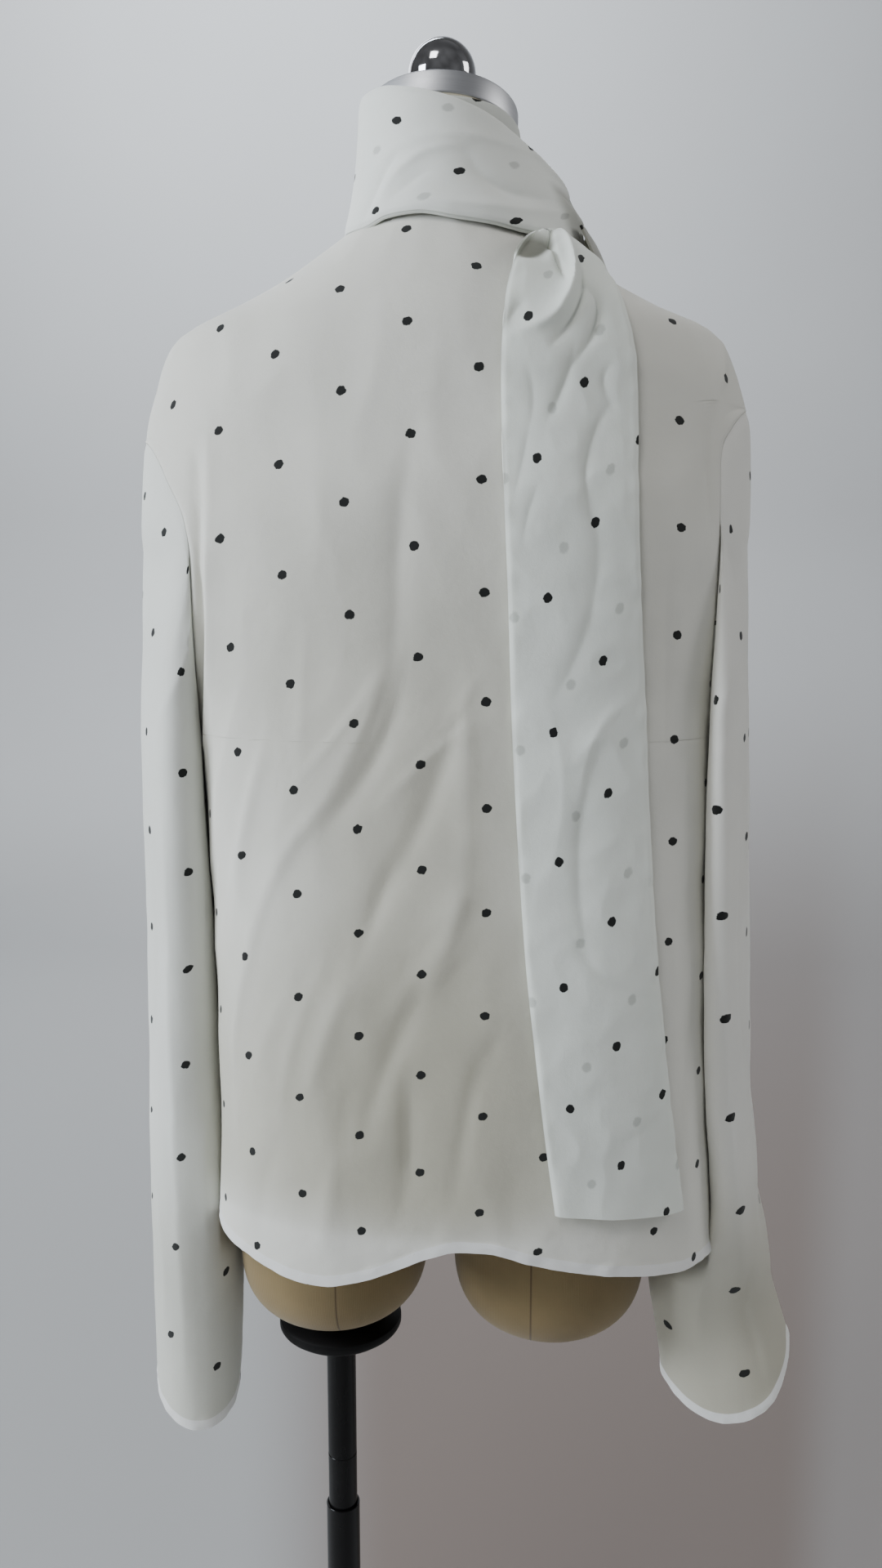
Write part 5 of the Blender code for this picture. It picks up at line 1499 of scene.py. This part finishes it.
class BLOUSE_OT_stage(bpy.types.Operator):
    """Set up the camera, the floor and the lights"""

    bl_idname = "blouse.stage"
    bl_label = "Stage"

    def execute(self, context):
        settings = context.scene.blouse_stage
        bpy.ops.object.select_all(action="DESELECT")
        bpy.ops.object.camera_add(
            location=CAMERA_PLACE, rotation=(math.pi / 2.0 - CAMERA_PITCH, 0.0, CAMERA_YAW),
        )
        camera = context.object
        camera.data.sensor_width = CAMERA_SENSOR
        camera.data.lens = CAMERA_SENSOR * FOCAL_LENGTH_PX / FRAME_HEIGHT_PX
        camera.data.clip_start = 0.01
        context.scene.camera = camera
        floor = self.floor(settings)
        floor.data.materials.append(floor_paint())
        for name, light in LIGHTS.items():
            self.light(name, getattr(settings, name + "_power"), *light)
        self.surround(context, settings)
        return {"FINISHED"}

    def floor(self, settings):
        """A wide floor whose far edge rises into a wall in one soft curve."""
        half = settings.floor_size / 2.0
        bpy.ops.mesh.primitive_plane_add(size=settings.floor_size)
        floor = bpy.context.object
        floor.name = "floor"
        bpy.ops.object.mode_set(mode="EDIT")
        bpy.ops.mesh.select_all(action="SELECT")
        bpy.ops.transform.translate(value=(0.0, half - settings.wall_distance, 0.0))
        bpy.ops.mesh.select_all(action="DESELECT")
        bpy.ops.object.mode_set(mode="OBJECT")
        for edge in floor.data.edges:
            ends = [floor.data.vertices[i].co for i in edge.vertices]
            edge.select = all(end.y < 0.0 for end in ends)
        bpy.ops.object.mode_set(mode="EDIT")
        bpy.ops.mesh.select_mode(type="EDGE")
        step = math.pi / 2.0 / WALL_STEPS
        length = settings.wall_curve * step
        for i in range(WALL_STEPS):
            move = (0.0, -length * math.cos((i + 0.5) * step), length * math.sin((i + 0.5) * step))
            bpy.ops.mesh.extrude_region_move(TRANSFORM_OT_translate={"value": move})
        bpy.ops.mesh.extrude_region_move(TRANSFORM_OT_translate={"value": (0.0, 0.0, half)})
        bpy.ops.mesh.select_mode(type="VERT")
        bpy.ops.object.mode_set(mode="OBJECT")
        bpy.ops.object.shade_smooth()
        return floor

    def light(self, name, power, place, target, size, colour):
        """One soft square light aimed at a point."""
        bpy.ops.object.light_add(type="AREA", location=place)
        lamp = bpy.context.object
        lamp.name = name
        lamp.data.size = size
        lamp.data.energy = power
        lamp.data.color = linear(colour)
        aim = Vector(target) - Vector(place)
        lamp.rotation_euler = aim.to_track_quat("-Z", "Y").to_euler()

    def surround(self, context, settings):
        """Even pale air, with a room of darker and lighter patches for what mirrors it."""
        world = bpy.data.worlds.new("studio")
        context.scene.world = world
        world.use_nodes = True
        tree = world.node_tree
        background = tree.nodes["Background"]
        direction = add(tree, "TexCoord").outputs["Generated"]
        room = add(tree, "TexVoronoi", {"distance": "CHEBYCHEV"}, {"Vector": direction, "Scale": 1.7})
        patches = ranged(tree, room.outputs["Distance"], 0.1, 0.9, 0.95, 0.34)
        mirrored = scaled(tree, settings.surroundings, patches)
        glossy = add(tree, "LightPath").outputs["Is Glossy Ray"]
        seen = mix(tree, glossy, settings.surroundings, mirrored)
        wire(tree, background, {"Color": seen, "Strength": 1.0})


class BLOUSE_OT_panels(bpy.types.Operator):
    """Make the back and front panels and the two sleeves"""

    bl_idname = "blouse.panels"
    bl_label = "Panels and Sleeves"

    def execute(self, context):
        sizes = context.scene.blouse_cloth
        back = panel_surface(1, BACK_HEM, BACK_COLUMNS)
        front = panel_surface(-1, FRONT_HEM, FRONT_COLUMNS)
        worn, edge = crease_panel(back, 1, BACK_CREASES, BACK_EDGE_FOLDS, sizes.hem_width)
        cloth = off_grain(panel_cloth(back, 1), "back")
        piece = cloth_piece("back_panel", worn, cloth, panel_notes(worn, edge), sizes.single_wall)
        finish_cloth(piece, "back")
        worn, edge = crease_panel(front, -1, FRONT_CREASES, (), sizes.hem_width)
        worn, edge = worn[:, ::-1], edge[:, ::-1]
        cloth = panel_cloth(front, -1)[:, ::-1] + FRONT_PRINT_SHIFT
        piece = cloth_piece("front_panel", worn, cloth, panel_notes(worn, edge), sizes.single_wall)
        finish_cloth(piece, "front")
        for side in ("left", "right"):
            self.sleeve(back, front, side, sizes)
        return {"FINISHED"}

    def sleeve(self, back, front, side, sizes):
        """One sleeve, creased along its own length and hemmed at the cuff."""
        loop, fractions = armhole_loop(back, front, side)
        points = sleeve_surface(loop, fractions, side)
        across = run_lengths(joined(points), 1)
        nose = np.argmax(points[:, :, 1], axis=1)
        round_back = across[:, :-1] - across[np.arange(len(points)), nose][:, None]
        outside = -round_back if side == "left" else round_back
        down = run_lengths(points, 0)
        edge = down[-1][None, :] - down
        lift = crease_lift(outside, points[:, :, 2], SLEEVE_CREASES[side]) + waves(points, SLEEVE_WAVES)
        lift = lift * smooth(down / SLEEVE_SEAM_CALM)
        lift = lift - SEAM_ROLL * np.exp(-(down / SEAM_ROLL_WIDTH) ** 2)
        lift = lift + hem_lift(points, edge, sizes.hem_width)
        normals = grid_normals(np.concatenate((points[:, -1:], points, points[:, :1]), axis=1))[:, 1:-1]
        points = points + lift[:, :, None] * normals
        cloth = np.stack((round_back, down[CAP_RINGS][None, :] - down), axis=2)
        cloth = np.concatenate((cloth, cloth[:, :1] + (across[:, -1:, None] * (1.0, 0.0))), axis=1)
        notes = plain_notes(cloth)
        notes["hem_distance"] = joined(edge)
        # Painted shade: the sleeve darkens towards its cuff through the show-through tint, with no form
        # behind it
        low = smooth((CUFF_SHADE_TOP - points[:, :, 2]) / (CUFF_SHADE_TOP - CUFF_SHADE_LOW))
        notes["show_through"] = CUFF_PAINTED_SHADE[side] * joined(low)
        name = "sleeve_" + side
        cloth = off_grain(cloth, name)
        piece = cloth_piece(name + "_cloth", points, cloth, notes, sizes.single_wall, closed=True)
        finish_cloth(piece, name)


class BLOUSE_OT_scarf(bpy.types.Operator):
    """Make the scarf: its turn round the neck, the stretch across the front and its end"""

    bl_idname = "blouse.scarf"
    bl_label = "Scarf Collar"

    def execute(self, context):
        sizes = context.scene.blouse_cloth
        points, even, shade = wrap_surface()
        cloth = off_grain(strip_cloth(joined(even)), "wrap")
        notes = plain_notes(cloth)
        notes["hollow"] = joined(shade)
        piece = cloth_piece("scarf_round_neck", points, cloth, notes, sizes.double_wall, closed=True)
        finish_cloth(piece, "scarf_wrap", doubled=True)
        points = cowl_surface()
        notes = plain_notes(points)
        # Painted shade at the cowl's start, fading out across the front
        angle = np.linspace(COWL.keys[0], COWL.keys[-1], COWL_COLUMNS)
        shade = 1.0 - smooth((angle - COWL.keys[0]) / (COWL_SHADE_END - COWL.keys[0]))
        notes["hollow"] = notes["hollow"] + COWL_SHADE * shade
        piece = cloth_piece("scarf_across_front", points, strip_cloth(points), notes, sizes.double_wall)
        finish_cloth(piece, "scarf_cowl", doubled=True)
        points, laid, hollow = tail_surface()
        cloth = off_grain(strip_cloth(laid)[:, :, ::-1], "tail")
        notes = plain_notes(points)
        notes["hollow"] = hollow
        piece = cloth_piece("scarf_end_back", points, cloth, notes, sizes.double_wall)
        finish_cloth(piece, "scarf_tail", doubled=True)
        return {"FINISHED"}


class BLOUSE_OT_form(bpy.types.Operator):
    """Make the padded form with its two thigh stubs"""

    bl_idname = "blouse.form"
    bl_label = "Dress Form"

    def execute(self, context):
        torso = self.torso()
        for side in (-1.0, 1.0):
            profile = list(STUB_NECK)
            for angle in np.linspace(0.0, math.pi / 2.0, STUB_RINGS):
                radius, drop = power_point(angle, STUB_RADIUS, STUB_SHOULDER - STUB_FLOOR, STUB_POWER)
                profile.append((max(radius, 0.001), STUB_SHOULDER - drop))
            stub = turned("stub", profile, (side * STUB_X, 0.0, 0.0))
            union = torso.modifiers.new("stub", "BOOLEAN")
            union.operation = "UNION"
            union.solver = "EXACT"
            union.object = stub
            bpy.ops.object.select_all(action="DESELECT")
            context.view_layer.objects.active = torso
            torso.select_set(True)
            bpy.ops.object.modifier_apply(modifier=union.name)
            bpy.data.objects.remove(stub)
        bpy.ops.object.shade_smooth_by_angle(angle=FORM_SMOOTH_ANGLE)
        finish(torso, "form", "form_torso", form_cover())
        return {"FINISHED"}

    def torso(self):
        """The form's padded torso, closed at the neck and below the hips."""
        angle = np.linspace(0.0, math.tau, FORM_COLUMNS, endpoint=False)
        rings = []
        for height in np.linspace(FORM_TOP, FORM_BOTTOM, FORM_ROWS):
            half = FORM.read("half", height)
            depth = either(FORM, "back", "front", np.sin(angle), height)
            power = 2.0 if height > NECK_TILT_FROM else FORM_POWER
            x, y = power_point(angle, half, depth, power)
            lean = np.clip((height - NECK_TILT_FROM) / (FORM_TOP - NECK_TILT_FROM), 0.0, 1.0)
            rings.append(np.stack((x, y, height + lean * y * math.tan(NECK_TILT)), axis=1))
        bpy.ops.object.select_all(action="DESELECT")
        bpy.ops.mesh.primitive_cylinder_add(vertices=FORM_COLUMNS, radius=0.1, depth=1.0)
        torso = named("form_padding")
        faces = []
        for row in range(FORM_ROWS - 1):
            for column in range(FORM_COLUMNS):
                after = (column + 1) % FORM_COLUMNS
                here, below = row * FORM_COLUMNS, (row + 1) * FORM_COLUMNS
                faces.append((here + column, below + column, below + after, here + after))
        last = (FORM_ROWS - 1) * FORM_COLUMNS
        faces.append(tuple(range(FORM_COLUMNS)))
        faces.append(tuple(last + i for i in reversed(range(FORM_COLUMNS))))
        torso.data.clear_geometry()
        torso.data.from_pydata(np.array(rings).reshape(-1, 3).tolist(), [], faces)
        torso.data.update()
        return torso


class BLOUSE_OT_hardware(bpy.types.Operator):
    """Make the neck plate and knob, the flange, the pole, its tube and the base"""

    bl_idname = "blouse.hardware"
    bl_label = "Plate, Knob and Stand"

    def execute(self, context):
        seat = Vector((0.0, 0.0, PLATE_TOP - PLATE_THICKNESS * math.cos(NECK_TILT)))
        rim = round_over(PLATE_RADIUS, PLATE_THICKNESS, 0.0, PLATE_EDGE)
        cap = [(0.001, PLATE_THICKNESS), *rim, (0.001, 0.0)]
        plate = turned("neck_cap", cap, seat, NECK_TILT, PLATE_SEGMENTS)
        finish(plate, "form", "neck_plate", brushed_steel())
        up = Vector((0.0, -math.sin(NECK_TILT), math.cos(NECK_TILT)))
        ball = [(0.0008, KNOB_CENTRE + KNOB_RADIUS)]
        for turn in np.radians(np.linspace(KNOB_FROM, KNOB_TO, KNOB_RINGS)):
            ball.append((KNOB_RADIUS * math.sin(turn), KNOB_CENTRE + KNOB_RADIUS * math.cos(turn)))
        ball += KNOB_STEM
        knob = turned("neck_ball", ball, seat + up * (PLATE_THICKNESS + PART_GAP), NECK_TILT)
        finish(knob, "form", "neck_knob", polished_chrome())
        self.stand()
        return {"FINISHED"}

    def stand(self):
        """Flange, pole, tube and base, each turned about the pole's axis."""
        ground = (POLE_X, 0.0, 0.0)
        top = STUB_FLOOR - PART_GAP
        piece = turned("mount_flange", [(radius, top + fall) for radius, fall in FLANGE], ground)
        finish(piece, "form", "thigh_flange", black_enamel("black_cast_enamel", 0.5))
        top = top - FLANGE_DEPTH - PART_GAP
        piece = turned("pole_inner", [(0.001, top), (POLE_RADIUS, top), *POLE], ground)
        gloss = black_enamel("black_gloss_enamel", 0.22)
        finish(piece, "form", "pole_upper", gloss)
        piece = turned("pole_outer", TUBE, ground)
        finish(piece, "stand", "pole_lower", gloss)
        piece = turned("base_disc", BASE, ground, segments=BASE_SEGMENTS)
        finish(piece, "stand", "base_plate", black_enamel("black_satin_enamel", 0.4))


class BLOUSE_PT_panel(bpy.types.Panel):
    """The blouse's sizes, colours and makers"""

    bl_label = "Blouse"
    bl_idname = "BLOUSE_PT_panel"
    bl_space_type = "VIEW_3D"
    bl_region_type = "UI"
    bl_category = "Blouse"

    def draw(self, context):
        layout = self.layout
        for group in (context.scene.blouse_cloth, context.scene.blouse_colours, context.scene.blouse_stage):
            box = layout.box()
            for name in group.bl_rna.properties.keys():
                if name not in ("rna_type", "name"):
                    box.prop(group, name)
        for operator in OPERATORS:
            layout.operator(operator.bl_idname)


GROUPS = (BlouseCloth, BlouseColours, BlouseStage)
OPERATORS = (
    BLOUSE_OT_stage,
    BLOUSE_OT_panels,
    BLOUSE_OT_scarf,
    BLOUSE_OT_form,
    BLOUSE_OT_hardware,
)


def register():
    """Add the classes and their settings to Blender."""
    for item in (*GROUPS, *OPERATORS, BLOUSE_PT_panel):
        bpy.utils.register_class(item)
    bpy.types.Scene.blouse_cloth = PointerProperty(type=BlouseCloth)
    bpy.types.Scene.blouse_colours = PointerProperty(type=BlouseColours)
    bpy.types.Scene.blouse_stage = PointerProperty(type=BlouseStage)


def unregister():
    """Take the classes and their settings out again."""
    del bpy.types.Scene.blouse_stage
    del bpy.types.Scene.blouse_colours
    del bpy.types.Scene.blouse_cloth
    for item in (BLOUSE_PT_panel, *reversed(OPERATORS), *reversed(GROUPS)):
        bpy.utils.unregister_class(item)


def main():
    """Register the classes and their settings, and build every piece in order."""
    register()
    bpy.ops.blouse.stage()
    bpy.ops.blouse.panels()
    bpy.ops.blouse.scarf()
    bpy.ops.blouse.form()
    bpy.ops.blouse.hardware()


if __name__ == "__main__":
    main()
